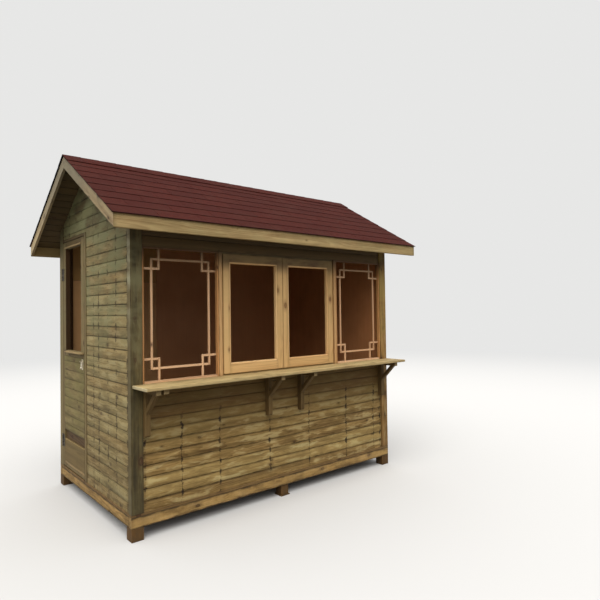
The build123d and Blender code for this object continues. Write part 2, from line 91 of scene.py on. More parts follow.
def node(tree, kind, ins=None, **settings):
    """A node with its settings, its input values and its links. Its kind is given without the word ShaderNode."""
    made = tree.nodes.new(kind if kind.startswith("NodeGroup") else "ShaderNode" + kind)
    made.location = (200 * (len(tree.nodes) % 9), -280 * (len(tree.nodes) // 9))
    for key, value in settings.items():
        setattr(made, key, value)
    for key, value in (ins or {}).items():
        if isinstance(value, bpy.types.NodeSocket):
            tree.links.new(value, made.inputs[key])
        else:
            made.inputs[key].default_value = value
    return made


def maths(tree, operation, *values):
    """The result of a Math node."""
    return node(tree, "Math", dict(enumerate(values)), operation=operation).outputs[0]


def times(tree, first, *others):
    """The product of two or more values."""
    for other in others:
        first = maths(tree, "MULTIPLY", first, other)
    return first


def vector_maths(tree, operation, *values):
    """The result of a Vector Math node."""
    made = node(tree, "VectorMath", dict(enumerate(values)), operation=operation)
    return made.outputs["Value" if operation in ("LENGTH", "DOT_PRODUCT") else "Vector"]


def part(tree, vector, number):
    """The X (0), Y (1) or Z (2) of a vector."""
    return node(tree, "SeparateXYZ", {0: vector}).outputs[number]


def ramp(tree, value, low, high, at_low=0.0, at_high=1.0, smooth=True):
    """A value eased from one range to another, and held at its ends."""
    ins = {"Value": value, "From Min": low, "From Max": high, "To Min": at_low, "To Max": at_high}
    return node(tree, "MapRange", ins, interpolation_type="SMOOTHSTEP" if smooth else "LINEAR").outputs[0]


def mix(tree, share, first, second, how="MIX"):
    """Two colours mixed by a share."""
    return node(tree, "Mix", {0: share, 6: first, 7: second}, data_type="RGBA", blend_type=how).outputs[2]


def noise(tree, place, scale, detail=2.0, rough=0.5):
    """The value of a Noise node. A scale of three numbers stretches it."""
    return clouds(tree, place, scale, detail, rough)[0]


def wobble(tree, place, scale, detail=2.0, rough=0.5):
    """The value of a Noise node, about zero."""
    return maths(tree, "SUBTRACT", noise(tree, place, scale, detail, rough), 0.5)


def clouds(tree, place, scale, detail=2.0, rough=0.5):
    """The value and the colour of a Noise node."""
    if isinstance(scale, tuple):
        place, scale = vector_maths(tree, "MULTIPLY", place, scale), 1.0
    return node(tree, "TexNoise", {"Vector": place, "Scale": scale, "Detail": detail, "Roughness": rough}).outputs


def effect(name, takes, *gives):
    """An empty node group, its inputs, and a function that joins its outputs. A start value sets an input's kind."""
    tree = bpy.data.node_groups.new(name, "ShaderNodeTree")
    for label, start in takes.items():
        kind = {3: "Vector", 4: "Color"}[len(start)] if isinstance(start, tuple) else "Float"
        tree.interface.new_socket(label, in_out="INPUT", socket_type="NodeSocket" + kind).default_value = start
    for label in gives:
        kind = "Color" if label == "Color" else "Float"
        tree.interface.new_socket(label, in_out="OUTPUT", socket_type="NodeSocket" + kind)
    ends = node(tree, "NodeGroupOutput").inputs

    def give(**values):
        for label, value in values.items():
            tree.links.new(value, ends[label])
        print("effect:", name)
        return tree

    return tree, node(tree, "NodeGroupInput").outputs, give


def paint(red, green, blue):
    """A colour as a paint chart gives it, 0 to 255, made linear for the shader."""
    parts = [v / 255 for v in (red, green, blue)]
    return tuple(v / 12.92 if v <= 0.04045 else ((v + 0.055) / 1.055) ** 2.4 for v in parts) + (1.0,)


print("node helpers ready")

# %% [markdown]
# ## Sawn timber
# Softwood grows in rings about its pith, with pale wood in spring and a dark thin line in late summer. A board is a
# flat cut through those rings, so its face shows long arches and its end shows arcs. A picture of wood could be wrapped
# on, but it would stretch and repeat. Here the rings are solid: each timber carries a map of metres along, across and
# through itself, and the shader measures how far each point lies from a pith that wanders behind the face.
# %% Growth rings
def growth_rings():
    """The rings, streaks and fibres of sawn softwood."""
    tree, given, give = effect("growth rings", {
        "Grain": (0, 0, 0), "Tone": 0.5, "Pale": paint(200, 170, 120), "Deep": paint(150, 115, 70), "Ring Gap": 0.005,
        "Streak": 0.6,
    }, "Color", "Height")
    grain = given["Grain"]
    drift = vector_maths(tree, "SUBTRACT", clouds(tree, grain, (1.4, 12, 12), 1)["Color"], (0.5, 0.5, 0.5))
    bent = vector_maths(tree, "MULTIPLY_ADD", drift, (0, 0.03, 0.03), grain)
    across = vector_maths(tree, "MULTIPLY", bent, (0, 1, 1))
    reach = maths(tree, "MULTIPLY_ADD", part(tree, bent, 0), 0.009, vector_maths(tree, "LENGTH", across))
    saw = maths(tree, "FRACT", maths(tree, "DIVIDE", reach, given["Ring Gap"]))
    late = times(tree, ramp(tree, saw, 0.35, 0.85), ramp(tree, saw, 0.9, 1.0, 1, 0))
    streak = wobble(tree, grain, (0.9, 24, 24), 3, 0.6)
    fibre = noise(tree, grain, (16, 480, 480), 2)
    dark = maths(tree, "MULTIPLY_ADD", late, 0.34, maths(tree, "MULTIPLY_ADD", fibre, 0.35, 0.02))
    dark = maths(tree, "MULTIPLY_ADD", streak, times(tree, given["Streak"], 2.2), dark)
    dark = maths(tree, "MULTIPLY_ADD", maths(tree, "SUBTRACT", given["Tone"], 0.5), 0.55, dark)
    shade = ramp(tree, dark, 0.0, 1.0, smooth=False)
    return give(Color=mix(tree, shade, given["Pale"], given["Deep"]),
                Height=maths(tree, "MULTIPLY_ADD", late, -0.35, fibre))


RINGS = growth_rings()

# %% [markdown]
# A branch that grew through the board is cut as a knot: a brown disc with a darker rim, and the grain round it is
# stained. Knots sit some decimetres apart, so a sparse cell pattern is the right tool. It is read across the face only,
# so that a knot goes through the board as a real branch does. Late wood and knots are a little glossier than the rest.
# %% Knots
def knots():
    """Brown branch discs with a dark rim and a stained edge."""
    tree, given, give = effect("knots", {
        "Grain": (0, 0, 0), "Color": WOOD, "Height": 0.5, "Knot": paint(70, 42, 22), "Share": 0.5, "Radius": 0.008,
        "Spacing": (0.32, 0.06, 1), "Dullness": 0.72,
    }, "Color", "Height", "Roughness")
    cell = vector_maths(tree, "DIVIDE", given["Grain"], given["Spacing"])
    spots = node(tree, "TexVoronoi", {"Vector": cell, "Scale": 1.0}, voronoi_dimensions="2D").outputs
    gap = vector_maths(tree, "MULTIPLY", vector_maths(tree, "SUBTRACT", cell, spots["Position"]), given["Spacing"])
    gap = vector_maths(tree, "LENGTH", vector_maths(tree, "MULTIPLY", gap, (0.55, 1, 0)))
    far = maths(tree, "MULTIPLY_ADD", noise(tree, given["Grain"], 130, 1), 0.003, gap)
    luck = node(tree, "SeparateColor", {0: spots["Color"]}).outputs
    there = maths(tree, "LESS_THAN", luck[0], given["Share"])
    size = times(tree, given["Radius"], maths(tree, "MULTIPLY_ADD", luck[1], 1.1, 0.45))
    share = maths(tree, "DIVIDE", far, size)
    core = times(tree, ramp(tree, share, 1.15, 0.85, 0, 0.75), there)
    stain = times(tree, ramp(tree, share, 3.2, 0.9, 0, 0.5), there)
    rim = times(tree, ramp(tree, share, 0.7, 1.0), ramp(tree, share, 1.3, 1.05), there)
    warm = mix(tree, stain, given["Color"], given["Knot"])
    disc = mix(tree, core, warm, given["Knot"])
    height = maths(tree, "MULTIPLY_ADD", rim, -0.8, given["Height"])
    dull, glossy = (maths(tree, "ADD", given["Dullness"], step) for step in (0.12, -0.06))
    return give(Color=mix(tree, times(tree, rim, 0.5), disc, paint(24, 15, 9)),
                Height=height,
                Roughness=ramp(tree, height, -0.4, 1.0, dull, glossy, smooth=False))


KNOTS = knots()

# %% [markdown]
# Dirt gathers where two boards meet, and cut ends drink water and darken. A free arris is worn pale instead; on the
# kick board and the brackets that pale arris and end are a painted highlight, where the light catches them. All three
# need the distance to the nearest edge. Ambient occlusion could find it, but it is slow and doesn't survive an export,
# so each timber also carries its place between its edges (-1 to 1) and its half sizes, and the group turns both into
# millimetres. Some joints stay darker than those that the rain washes, so the amount can change with height.
# %% Edges
def edges():
    """A tint along the long edges of a timber, and another at its ends."""
    tree, given, give = effect("edges", {
        "Grain": (0, 0, 0), "Unit": (0, 0, 0), "Half": (1, 1, 1), "Place": (0, 0, 0), "Color": WOOD,
        "Edge": paint(60, 45, 25), "Edge Width": 0.008, "Edge Amount": 0.5, "Amount Above": 0.5, "From": 0.0,
        "To": 1.0, "Upper Share": 1.0, "End": paint(60, 45, 25), "End Width": 0.03, "End Amount": 0.3,
    }, "Color")
    room = vector_maths(tree, "SUBTRACT", (1, 1, 1), vector_maths(tree, "ABSOLUTE", given["Unit"]))
    gap = node(tree, "SeparateXYZ", {0: vector_maths(tree, "MULTIPLY", room, given["Half"])}).outputs
    rough = wobble(tree, given["Grain"], (14, 90, 90), 3, 0.6)
    side = maths(tree, "MAXIMUM", gap[1], gap[2])
    side = maths(tree, "MULTIPLY_ADD", times(tree, rough, given["Edge Width"]), 1.8, side)
    amount = ramp(tree, part(tree, given["Place"], 2), given["From"], given["To"], given["Edge Amount"],
                  given["Amount Above"])
    along = times(tree, ramp(tree, side, given["Edge Width"], 0.0), amount)
    upper = maths(tree, "GREATER_THAN", part(tree, given["Unit"], 1), 0.0)
    spared = times(tree, upper, maths(tree, "SUBTRACT", 1.0, given["Upper Share"]))
    along = times(tree, along, maths(tree, "SUBTRACT", 1.0, spared))
    tip = maths(tree, "MULTIPLY_ADD", times(tree, rough, given["End Width"]), 1.5, gap[0])
    ending = times(tree, ramp(tree, tip, given["End Width"], 0.0), given["End Amount"])
    tinted = mix(tree, along, given["Color"], given["Edge"])
    return give(Color=mix(tree, ending, tinted, given["End"]))


EDGES = edges()

# %% [markdown]
# The wood was dipped in a green copper salt, and it dries unevenly: some boards stay grey green, some turn warm. Rain
# splashes the foot of the walls. Both are broad patches over the whole building, so this group reads the place in
# the building and not the place in the board.
# %% Weather
def weather():
    """Grey green patches, stronger towards the top or the foot of the building."""
    tree, given, give = effect("weather", {
        "Place": (0, 0, 0), "Color": WOOD, "Tint": paint(105, 110, 80), "Amount": 0.4, "Low": 0.0, "High": 2.0,
        "Splash": paint(70, 58, 38), "Splash Amount": 0.35,
    }, "Color")
    height = part(tree, given["Place"], 2)
    wide = ramp(tree, noise(tree, given["Place"], (3.2, 3.2, 7.0), 3, 0.6), 0.3, 0.66)
    climb = ramp(tree, height, given["Low"], given["High"], 0.15, 1.0)
    share = times(tree, wide, climb, given["Amount"])
    greened = mix(tree, share, given["Color"], given["Tint"])
    speck = ramp(tree, noise(tree, given["Place"], (11, 11, 5), 4, 0.7), 0.35, 0.7)
    wet = times(tree, ramp(tree, height, 0.55, 0.05), speck, given["Splash Amount"])
    return give(Color=mix(tree, wet, greened, given["Splash"]))


WEATHER = weather()

# %% [markdown]
# Wet boards dry in swirls, and pale crests and darker hollows run along each board. The pale crests are also a painted
# highlight: they are strongest in the middle of a board, where it bulges out to the light, and weaker at its lips. This
# group bends a stretched noise by a second one, so that the patches curl.
# %% Mottle
def mottle():
    """Pale and dark swirls along a board, with a painted highlight on its middle."""
    tree, given, give = effect("mottle", {
        "Grain": (0, 0, 0), "Unit": (0, 0, 0), "Color": WOOD, "Pale": paint(204, 186, 134), "Pale Amount": 0.5,
        "Dark": paint(70, 54, 30), "Dark Amount": 0.3,
    }, "Color")
    bend = vector_maths(tree, "SUBTRACT", clouds(tree, given["Grain"], (7, 16, 16), 2)["Color"], (0.5, 0.5, 0.5))
    curled = vector_maths(tree, "MULTIPLY_ADD", bend, (0.08, 0.05, 0.05), given["Grain"])
    fine = wobble(tree, curled, (18, 90, 90), 2, 0.6)
    swirl = maths(tree, "MULTIPLY_ADD", fine, 0.25, noise(tree, curled, (5, 20, 20), 2))
    across = maths(tree, "ABSOLUTE", part(tree, given["Unit"], 1))
    # A painted highlight, strongest on the middle of the board where it bulges.
    bulge_highlight = times(tree, ramp(tree, across, 0.95, 0.35, 0.25, 1.0), given["Pale Amount"])
    pale = times(tree, ramp(tree, swirl, 0.48, 0.66), bulge_highlight)
    hollow = times(tree, ramp(tree, swirl, 0.50, 0.34), given["Dark Amount"])
    light = mix(tree, pale, given["Color"], given["Pale"])
    return give(Color=mix(tree, hollow, light, given["Dark"]))


MOTTLE = mottle()

# %% [markdown]
# Two smaller effects follow. The first lays a darker colour on one side of a level line, between two heights, with a
# border as ragged as wanted. Most finishes use it as painted shade under the eaves, the gable overhang and the counter
# shelf; the bargeboards, the side of the left post and the lower edge of the counter plank are only made darker towards
# one end. Boards of one wall come from different logs, and the second multiplies the colour of some of them by a pinker
# one, by the tone that each board carries.
# %% Fade and kin
def level_fade():
    """A darker colour, mostly painted shade, that comes on between two heights, with a border as ragged as wanted."""
    tree, given, give = effect("fade", {
        "Place": (0, 0, 0), "Color": WOOD, "Shade": paint(60, 46, 26), "From": 1.9, "To": 2.1, "Ragged": 0.0,
    }, "Color")
    # This noise only makes the border of the painted shade ragged.
    worn = wobble(tree, given["Place"], (22, 22, 60), 3, 0.7)
    level = maths(tree, "MULTIPLY_ADD", worn, given["Ragged"], part(tree, given["Place"], 2))
    share = ramp(tree, level, given["From"], given["To"], 0, 0.85)
    return give(Color=mix(tree, share, given["Color"], given["Shade"]))


def board_kin():
    """Some boards warmer than the others."""
    tree, given, give = effect("kin", {
        "Tone": 0.5, "Color": WOOD, "Warm": paint(250, 238, 230), "Amount": 0.5,
    }, "Color")
    share = ramp(tree, given["Tone"], 0.35, 0.75, 0, given["Amount"])
    return give(Color=mix(tree, share, given["Color"], given["Warm"], "MULTIPLY"))


FADE, KIN = level_fade(), board_kin()

# %% [markdown]
# Steel nails bleed black into wet wood. The cladding shows it as ragged spots at the joints along each stud, with a
# thin line that runs down the board between them. Some joints are spared, and so is the wood that the shelf keeps dry.
# The studs stand at uneven gaps. So one group measures the way along a wall, swayed a little as real runs of stain are,
# a colour ramp in the material holds one narrow peak for each stud, and a second group turns the peak and the height
# into spots and lines.
# %% Nail stains
BOARD_COVER = 0.0825
BOARD_BASE = 0.1775
STUD_REACH = 0.02
WALL_REACH = 1.45


def wall_run():
    """How far along a wall a point lies, from 0 to 1, with a slow sway."""
    tree, given, give = effect("wall run", {
        "Place": (0, 0, 0), "Along": (1, 0, 0),
    }, "Run")
    sway = wobble(tree, given["Place"], (0.7, 0.7, 10), 4, 0.8)
    run = maths(tree, "MULTIPLY_ADD", sway, 0.070, vector_maths(tree, "DOT_PRODUCT", given["Place"], given["Along"]))
    return give(Run=ramp(tree, run, -WALL_REACH, WALL_REACH, smooth=False))


def nail_stains():
    """Dark spots at the joints along each stud line, and a thin streak between them."""
    tree, given, give = effect("nail stains", {
        "Place": (0, 0, 0), "Peak": 0.0, "Color": WOOD, "Stain": paint(34, 24, 12), "Spread": 0.8, "Spot Amount": 0.9,
        "Line Amount": 0.75, "Dry Above": 9.0, "Size": 1.0,
    }, "Color")
    place = given["Place"]
    height = part(tree, place, 2)
    course = maths(tree, "FRACT", maths(tree, "DIVIDE", maths(tree, "SUBTRACT", height, BOARD_BASE), BOARD_COVER))
    up = times(tree, maths(tree, "MINIMUM", course, maths(tree, "SUBTRACT", 1.0, course)), BOARD_COVER)
    aside = times(tree, maths(tree, "SUBTRACT", 1.0, given["Peak"]), STUD_REACH)
    ragged = vector_maths(tree, "MULTIPLY", place, (1, 1, 0.55))
    shake = times(tree, wobble(tree, ragged, 130, 3, 0.75), 0.026)
    luck = noise(tree, place, (4.1, 4.1, 13), 0)
    there = ramp(tree, maths(tree, "MULTIPLY_ADD", given["Spread"], 0.4, luck), 0.60, 0.72)
    sides = {0: times(tree, aside, 1.25), 1: times(tree, up, 0.42)}
    apart = vector_maths(tree, "LENGTH", node(tree, "CombineXYZ", sides).outputs[0])
    spot_gap = maths(tree, "ADD", maths(tree, "DIVIDE", apart, given["Size"]), shake)
    spot_gap = maths(tree, "MULTIPLY_ADD", maths(tree, "SUBTRACT", 0.55, luck), 0.02, spot_gap)
    spot = times(tree, ramp(tree, spot_gap, 0.0135, 0.0060), given["Spot Amount"], there)
    patchy = ramp(tree, noise(tree, place, 9), 0.30, 0.50)
    line_gap = maths(tree, "MULTIPLY_ADD", shake, 0.35, aside)
    line = times(tree, ramp(tree, line_gap, 0.0060, 0.0020), patchy)
    mask = maths(tree, "MAXIMUM", spot, times(tree, line, given["Line Amount"]))
    dry = maths(tree, "SUBTRACT", maths(tree, "MULTIPLY_ADD", luck, 0.2, given["Dry Above"]), height)
    mask = times(tree, mask, maths(tree, "GREATER_THAN", given["Peak"], 0.0), ramp(tree, dry, 0.04, 0.14))
    return give(Color=mix(tree, mask, given["Color"], given["Stain"]))


WALL_RUN, STAINS = wall_run(), nail_stains()

# %% [markdown]
# ## Timber finishes
# Each finish is the same short chain with its own values: rings, knots, edges and weather, and where the wood wants
# them swirls, a fade, a warmer kin and nail stains. The shader itself stays in the material, where its constant numbers
# are set on its own sockets. Colours are given as a paint chart gives them.
# %% Timber finish
COLOURS = {"Pale", "Deep", "Knot", "Dark", "Shade", "Edge", "End", "Tint", "Warm", "Stain"}


def blank_finish(name):
    """An empty material, its node tree and the place in the building."""
    material = bpy.data.materials.new(name)
    material.use_nodes = True
    tree = material.node_tree
    tree.nodes.clear()
    return material, tree, node(tree, "TexCoord").outputs["Object"]


def carried(tree, name):
    """A value that each timber carries: tone is a number, and the others are vectors."""
    return node(tree, "Attribute", attribute_name=name).outputs["Fac" if name == "tone" else "Vector"]


def close_finish(tree, ins, height, strength, depth):
    """The shader and its relief, at the end of a chain of effects."""
    relief = node(tree, "Bump", {"Strength": strength, "Distance": depth, "Height": height}).outputs[0]
    shader = node(tree, "BsdfPrincipled", {**ins, "Normal": relief})
    node(tree, "OutputMaterial", {"Surface": shader.outputs[0]})


def stud_peaks(tree, run, studs):
    """A colour ramp along a wall with one narrow peak for each stud."""
    ladder = node(tree, "ValToRGB", {0: run})
    stops = ladder.color_ramp.elements
    stops[1].position, stops[1].color = 1.0, (0, 0, 0, 1)
    span = 2 * WALL_REACH
    for stud in sorted(studs):
        for step, value in ((-STUD_REACH, 0.0), (0, 1.0), (STUD_REACH, 0.0)):
            stops.new((stud + WALL_REACH + step) / span).color = (value, value, value, 1)
    return ladder.outputs["Color"]


def timber_finish(name, pale, deep, knot=(70, 42, 22), streak=0.6, knots_share=0.4, knot_radius=0.008,
                  spacing=(0.32, 0.06, 1), edge=(60, 45, 25), edge_width=0.008, edge_amount=0.4, upper=1.0,
                  edge_run=(0, 1, None), end=(60, 45, 25), end_width=0.03, end_amount=0.3, tint=(105, 110, 80),
                  green=0.25, low=0.0, high=2.4, splash=0.3, swirl=(0, 0), swirl_pale=(204, 186, 134),
                  swirl_dark=(70, 54, 30), fade=None, ragged=0.0, kin=None, studs=(), along=X, spread=0.8, spots=0.9,
                  lines=0.75, stain=(34, 24, 12), stain_size=1.0, dry_above=9.0, rough=0.72):
    """A material for sawn and planed softwood."""
    material, tree, place = blank_finish(name)
    grain, unit, half, tone = (carried(tree, label) for label in ("grain", "unit", "half", "tone"))

    def through(group, **values):
        """The outputs of an effect. Its inputs are given by their names, with _ for a space."""
        return node(tree, "Group", {key.replace("_", " "): paint(*value) if key in COLOURS else value
                                    for key, value in values.items()}, node_tree=group).outputs

    rings = through(RINGS, Grain=grain, Tone=tone, Pale=pale, Deep=deep, Streak=streak)
    wood = through(KNOTS, Grain=grain, Color=rings["Color"], Height=rings["Height"], Knot=knot, Share=knots_share,
                   Radius=knot_radius, Spacing=spacing, Dullness=rough)
    colour = wood["Color"]
    if max(swirl) > 0:
        colour = through(MOTTLE, Grain=grain, Unit=unit, Color=colour, Pale=swirl_pale, Pale_Amount=swirl[0],
                         Dark=swirl_dark, Dark_Amount=swirl[1])[0]
    if fade:
        colour = through(FADE, Place=place, Color=colour, From=fade[0], To=fade[1], Shade=fade[2], Ragged=ragged)[0]
    colour = through(EDGES, Grain=grain, Unit=unit, Half=half, Place=place, Color=colour, Edge=edge,
                     Edge_Width=edge_width, Edge_Amount=edge_amount, From=edge_run[0], To=edge_run[1],
                     Amount_Above=edge_amount if edge_run[2] is None else edge_run[2], Upper_Share=upper, End=end,
                     End_Width=end_width, End_Amount=end_amount)[0]
    colour = through(WEATHER, Place=place, Color=colour, Tint=tint, Amount=green, Low=low, High=high,
                     Splash_Amount=splash)[0]
    if kin:
        colour = through(KIN, Tone=tone, Color=colour, Warm=kin[1], Amount=kin[0])[0]
    if studs:
        peak = stud_peaks(tree, through(WALL_RUN, Place=place, Along=along)[0], studs)
        colour = through(STAINS, Place=place, Peak=peak, Color=colour, Spread=spread, Spot_Amount=spots,
                         Line_Amount=lines, Size=stain_size, Stain=stain, Dry_Above=dry_above)[0]
    close_finish(tree, {"Base Color": colour, "Roughness": wood["Roughness"], "Specular IOR Level": 0.3},
                 wood["Height"], 0.25, 0.0015)
    return material


FRONT_STUDS = (-1.262, -0.972, -0.642, -0.152, 0.292, 0.769, 1.163, 1.262)
SIDE_STUDS = (-0.772, -0.56, -0.39, -0.19, -0.07, 0.21, 0.56)
front_look = dict(
    streak=1.0, knots_share=0.06, knot_radius=0.006, edge=(30, 18, 6), edge_width=0.012, edge_amount=1.0, upper=0.45,
    green=0.35, tint=(122, 114, 60), studs=FRONT_STUDS, swirl=(0.6, 0.3), swirl_pale=(208, 190, 134),
    swirl_dark=(82, 60, 28), kin=(0.5, (250, 238, 230)))
# Its fade is painted shade, darkest just under the counter shelf.
front_cladding = timber_finish(
    "front_cladding", (173, 144, 87), (103, 79, 42), dry_above=0.80, spread=0.75, edge_run=(0.70, 0.90, 0.3),
    fade=(0.5, 0.95, (100, 74, 36)), **front_look)
rear_cladding = timber_finish("rear_cladding", (174, 142, 88), (104, 78, 42), spread=0.6, **front_look)
# The header boards are a darker copy of the cladding: painted shade under the eaves.
shaded_header_boards = timber_finish(
    "shaded_header_boards", (104, 82, 48), (62, 46, 24), streak=0.8, knots_share=0.1, edge_amount=0.6, green=0.3,
    tint=(66, 58, 32), splash=0)
# The fade at the top of the gable is painted shade under the roof's overhang.
side_cladding = timber_finish(
    "side_cladding", (166, 146, 97), (98, 82, 49), streak=1.1, knot_radius=0.007, edge=(30, 21, 7), edge_width=0.011,
    edge_amount=0.75, edge_run=(1.2, 1.75, 1.0), upper=0.45, green=0.95, tint=(132, 132, 92), low=0.9, high=2.0,
    studs=SIDE_STUDS, along=Y, spread=0.3, spots=0.7, lines=0.22, stain=(50, 38, 18), stain_size=1.3, splash=0.9,
    swirl=(0.35, 0.3), swirl_pale=(200, 186, 140), swirl_dark=(78, 62, 36), kin=(0.6, (252, 238, 226)),
    fade=(2.08, 2.44, (58, 47, 22)))
dark_post = timber_finish(
    "dark_post", (96, 82, 48), (46, 38, 20), green=0.85, tint=(118, 112, 78), low=0.7, high=2.1, streak=1.3,
    edge=(44, 36, 18), edge_width=0.009, edge_amount=0.7, knot_radius=0.011, swirl=(0.3, 0.4),
    swirl_pale=(140, 132, 92), swirl_dark=(40, 34, 18))
post_side = timber_finish(
    "post_side", (124, 108, 70), (80, 68, 40), streak=0.8, knots_share=0.2, edge=(44, 36, 18), edge_amount=0.6,
    green=1.0, tint=(172, 166, 134), low=1.3, high=2.0, fade=(1.45, 0.95, (86, 73, 42)))
# Its fade at the top is painted shade under the eaves.
pale_post = timber_finish(
    "pale_post", (148, 110, 60), (92, 66, 33), streak=0.9, knots_share=0.7, knot_radius=0.011, edge=(50, 34, 16),
    edge_amount=0.5, green=0.8, tint=(156, 132, 70), low=0.85, high=1.5, splash=0.5, swirl=(0.25, 0.4),
    fade=(1.98, 2.12, (60, 46, 26)))
frame_timber = timber_finish(
    "frame_timber", (200, 162, 98), (126, 96, 50), edge=(40, 24, 10), edge_width=0.018, edge_amount=0.9, splash=0.35,
    knots_share=0.3, swirl=(0.3, 0.45), swirl_pale=(206, 172, 118), swirl_dark=(84, 58, 28))
foot_timber = timber_finish(
    "foot_timber", (100, 70, 34), (60, 39, 14), edge=(150, 118, 72), edge_width=0.004, edge_amount=0.3, splash=0.6,
    knots_share=0.2, end_amount=0.1)
edge_boards = timber_finish(
    "edge_boards", (188, 160, 110), (136, 108, 66), knots_share=0.2, knot_radius=0.007, spacing=(0.24, 0.05, 1),
    edge=(92, 76, 42), edge_width=0.010, edge_amount=0.35, green=0.3, tint=(146, 138, 92), end_amount=0.4, splash=0,
    streak=1.0, knot=(110, 78, 42), swirl=(0.2, 0.15))
barge_boards = timber_finish(
    "barge_boards", (202, 178, 136), (148, 122, 84), knot_radius=0.009, spacing=(0.24, 0.05, 1), edge=(62, 48, 28),
    edge_amount=0.6, green=0.2, tint=(156, 150, 122), splash=0, streak=1.0, swirl=(0.2, 0.3),
    fade=(2.30, 2.72, (132, 122, 100)))
# The five window finishes below fade to painted shade near the window head, under the eaves.
window_pine = timber_finish(
    "window_pine", (216, 176, 119), (166, 123, 72), streak=1.0, knots_share=0.5, knot_radius=0.010,
    edge=(112, 74, 36), edge_width=0.005, green=0.35, tint=(184, 158, 102), splash=0, end_amount=0.15, rough=0.6,
    knot=(112, 62, 28), fade=(1.90, 2.03, (62, 46, 26)))
sash_step = timber_finish(
    "sash_step", (172, 142, 92), (128, 100, 58), streak=0.8, knots_share=0.2, green=0.5, tint=(150, 134, 88),
    edge=(84, 58, 28), edge_width=0.005, edge_amount=0.5, splash=0, rough=0.6, fade=(1.90, 2.03, (54, 40, 22)))
mullion_pine = timber_finish(
    "mullion_pine", (214, 172, 118), (164, 120, 70), streak=0.7, knots_share=0.2, knot_radius=0.006, edge=(84, 52, 24),
    edge_width=0.005, edge_amount=0.7, green=0, splash=0, rough=0.6, fade=(1.9, 2.09, (70, 54, 32)))
lattice_frame = timber_finish(
    "lattice_frame", (204, 150, 94), (150, 101, 56), streak=0.7, knots_share=0.1, edge=(90, 56, 26), edge_width=0.004,
    edge_amount=0.5, green=0, splash=0, rough=0.6, fade=(1.9, 2.09, (54, 40, 20)))
lattice_pine = timber_finish(
    "lattice_pine", (228, 188, 146), (182, 137, 96), streak=0.8, knots_share=0.1, knot_radius=0.005,
    edge=(120, 72, 36), edge_width=0.004, edge_amount=0.3, green=0, splash=0, end_amount=0.15, rough=0.6,
    fade=(1.85, 2.09, (96, 74, 48)))
bead_pine = timber_finish(
    "bead_pine", (236, 196, 138), (200, 152, 96), streak=0.4, knots_share=0.05, edge_amount=0.1, green=0, splash=0,
    rough=0.55)
counter_pine = timber_finish(
    "counter_pine", (197, 170, 118), (147, 121, 75), streak=0.9, knots_share=0.25, edge=(84, 70, 40), edge_width=0.007,
    edge_amount=0.6, upper=0.15, green=0.35, tint=(176, 166, 120), splash=0, swirl=(0.35, 0.3), end=(206, 194, 156),
    end_width=0.012, end_amount=0.6, fade=(1.070, 1.054, (62, 50, 24)), ragged=0.028, rough=0.6)
# The pale edges and ends of the brackets are a painted highlight, where the light catches them.
bracket_timber = timber_finish(
    "bracket_timber", (110, 86, 48), (72, 54, 26), knots_share=0.2, edge=(146, 120, 78), edge_width=0.004, green=0.3,
    tint=(86, 80, 48), end=(150, 128, 88), end_width=0.006, end_amount=0.7)
# Its fade at the top is painted shade under the gable's overhang.
door_timber = timber_finish(
    "door_timber", (140, 120, 80), (98, 80, 46), edge=(56, 44, 22), green=0.5, tint=(116, 110, 72), knots_share=0.25,
    fade=(2.12, 2.36, (72, 58, 32)))
# A darker copy of the door timber: painted shade under the gable's overhang.
shaded_door_head_timber = timber_finish(
    "shaded_door_head_timber", (98, 80, 46), (64, 50, 26), edge=(40, 30, 14), edge_amount=0.7, green=0.3, tint=(84, 76, 44),
    knots_share=0.2, splash=0)
# Near black: painted shade in the reveal of the door.
shaded_door_reveal = timber_finish("shaded_door_reveal", (72, 45, 10), (47, 29, 5), knots_share=0.1, green=0, splash=0)
door_strip = timber_finish(
    "door_strip", (168, 142, 98), (124, 100, 62), streak=0.8, knots_share=0.2, green=0.3, tint=(132, 122, 82),
    edge=(84, 66, 36), edge_width=0.004, edge_amount=0.5)
door_boards = timber_finish(
    "door_boards", (133, 115, 73), (89, 73, 41), edge=(44, 34, 14), edge_amount=0.55, upper=0.5, green=0.6,
    tint=(124, 118, 68), high=1.2, knots_share=0.6, streak=1.1, swirl=(0.3, 0.3), swirl_pale=(170, 156, 104),
    swirl_dark=(76, 60, 30))
dark_band = timber_finish("dark_band", (108, 82, 48), (68, 48, 24), edge_amount=0.5, knots_share=0.2, green=0.1)
# Its pale edges are a painted highlight, where the light catches the arrises.
kick_board = timber_finish(
    "kick_board", (134, 112, 68), (98, 80, 46), streak=0.8, edge=(176, 150, 100), edge_width=0.005, edge_amount=0.5,
    knots_share=0.15, green=0.3, tint=(120, 112, 64))
# Its fade at the top is painted shade under the gable's overhang.
rear_post = timber_finish(
    "rear_post", (138, 120, 80), (94, 78, 46), streak=0.9, knot_radius=0.010, edge=(50, 38, 18), edge_amount=0.5,
    green=0.5, tint=(116, 112, 76), splash=0.4, fade=(2.0, 2.3, (62, 50, 28)))
# Dark plain boards for the inner faces of the walls: painted shade of the unlit room.
shaded_inner_boards = timber_finish(
    "shaded_inner_boards", (96, 70, 40), (66, 46, 26), streak=0.5, edge=(24, 15, 8), knots_share=0.1, knot_radius=0.006,
    green=0.1, splash=0)
floor_boards = timber_finish("floor_boards", (150, 118, 72), (104, 78, 42), edge_amount=0.5, green=0.1)
# The dark colour of the roof timbers is painted shade, for the underside of the roof.
roof_timber = timber_finish(
    "roof_timber", (92, 72, 38), (60, 45, 22), edge=(30, 21, 9), edge_amount=0.7, tint=(80, 74, 44), splash=0)
print("timber finishes:", len(bpy.data.materials))

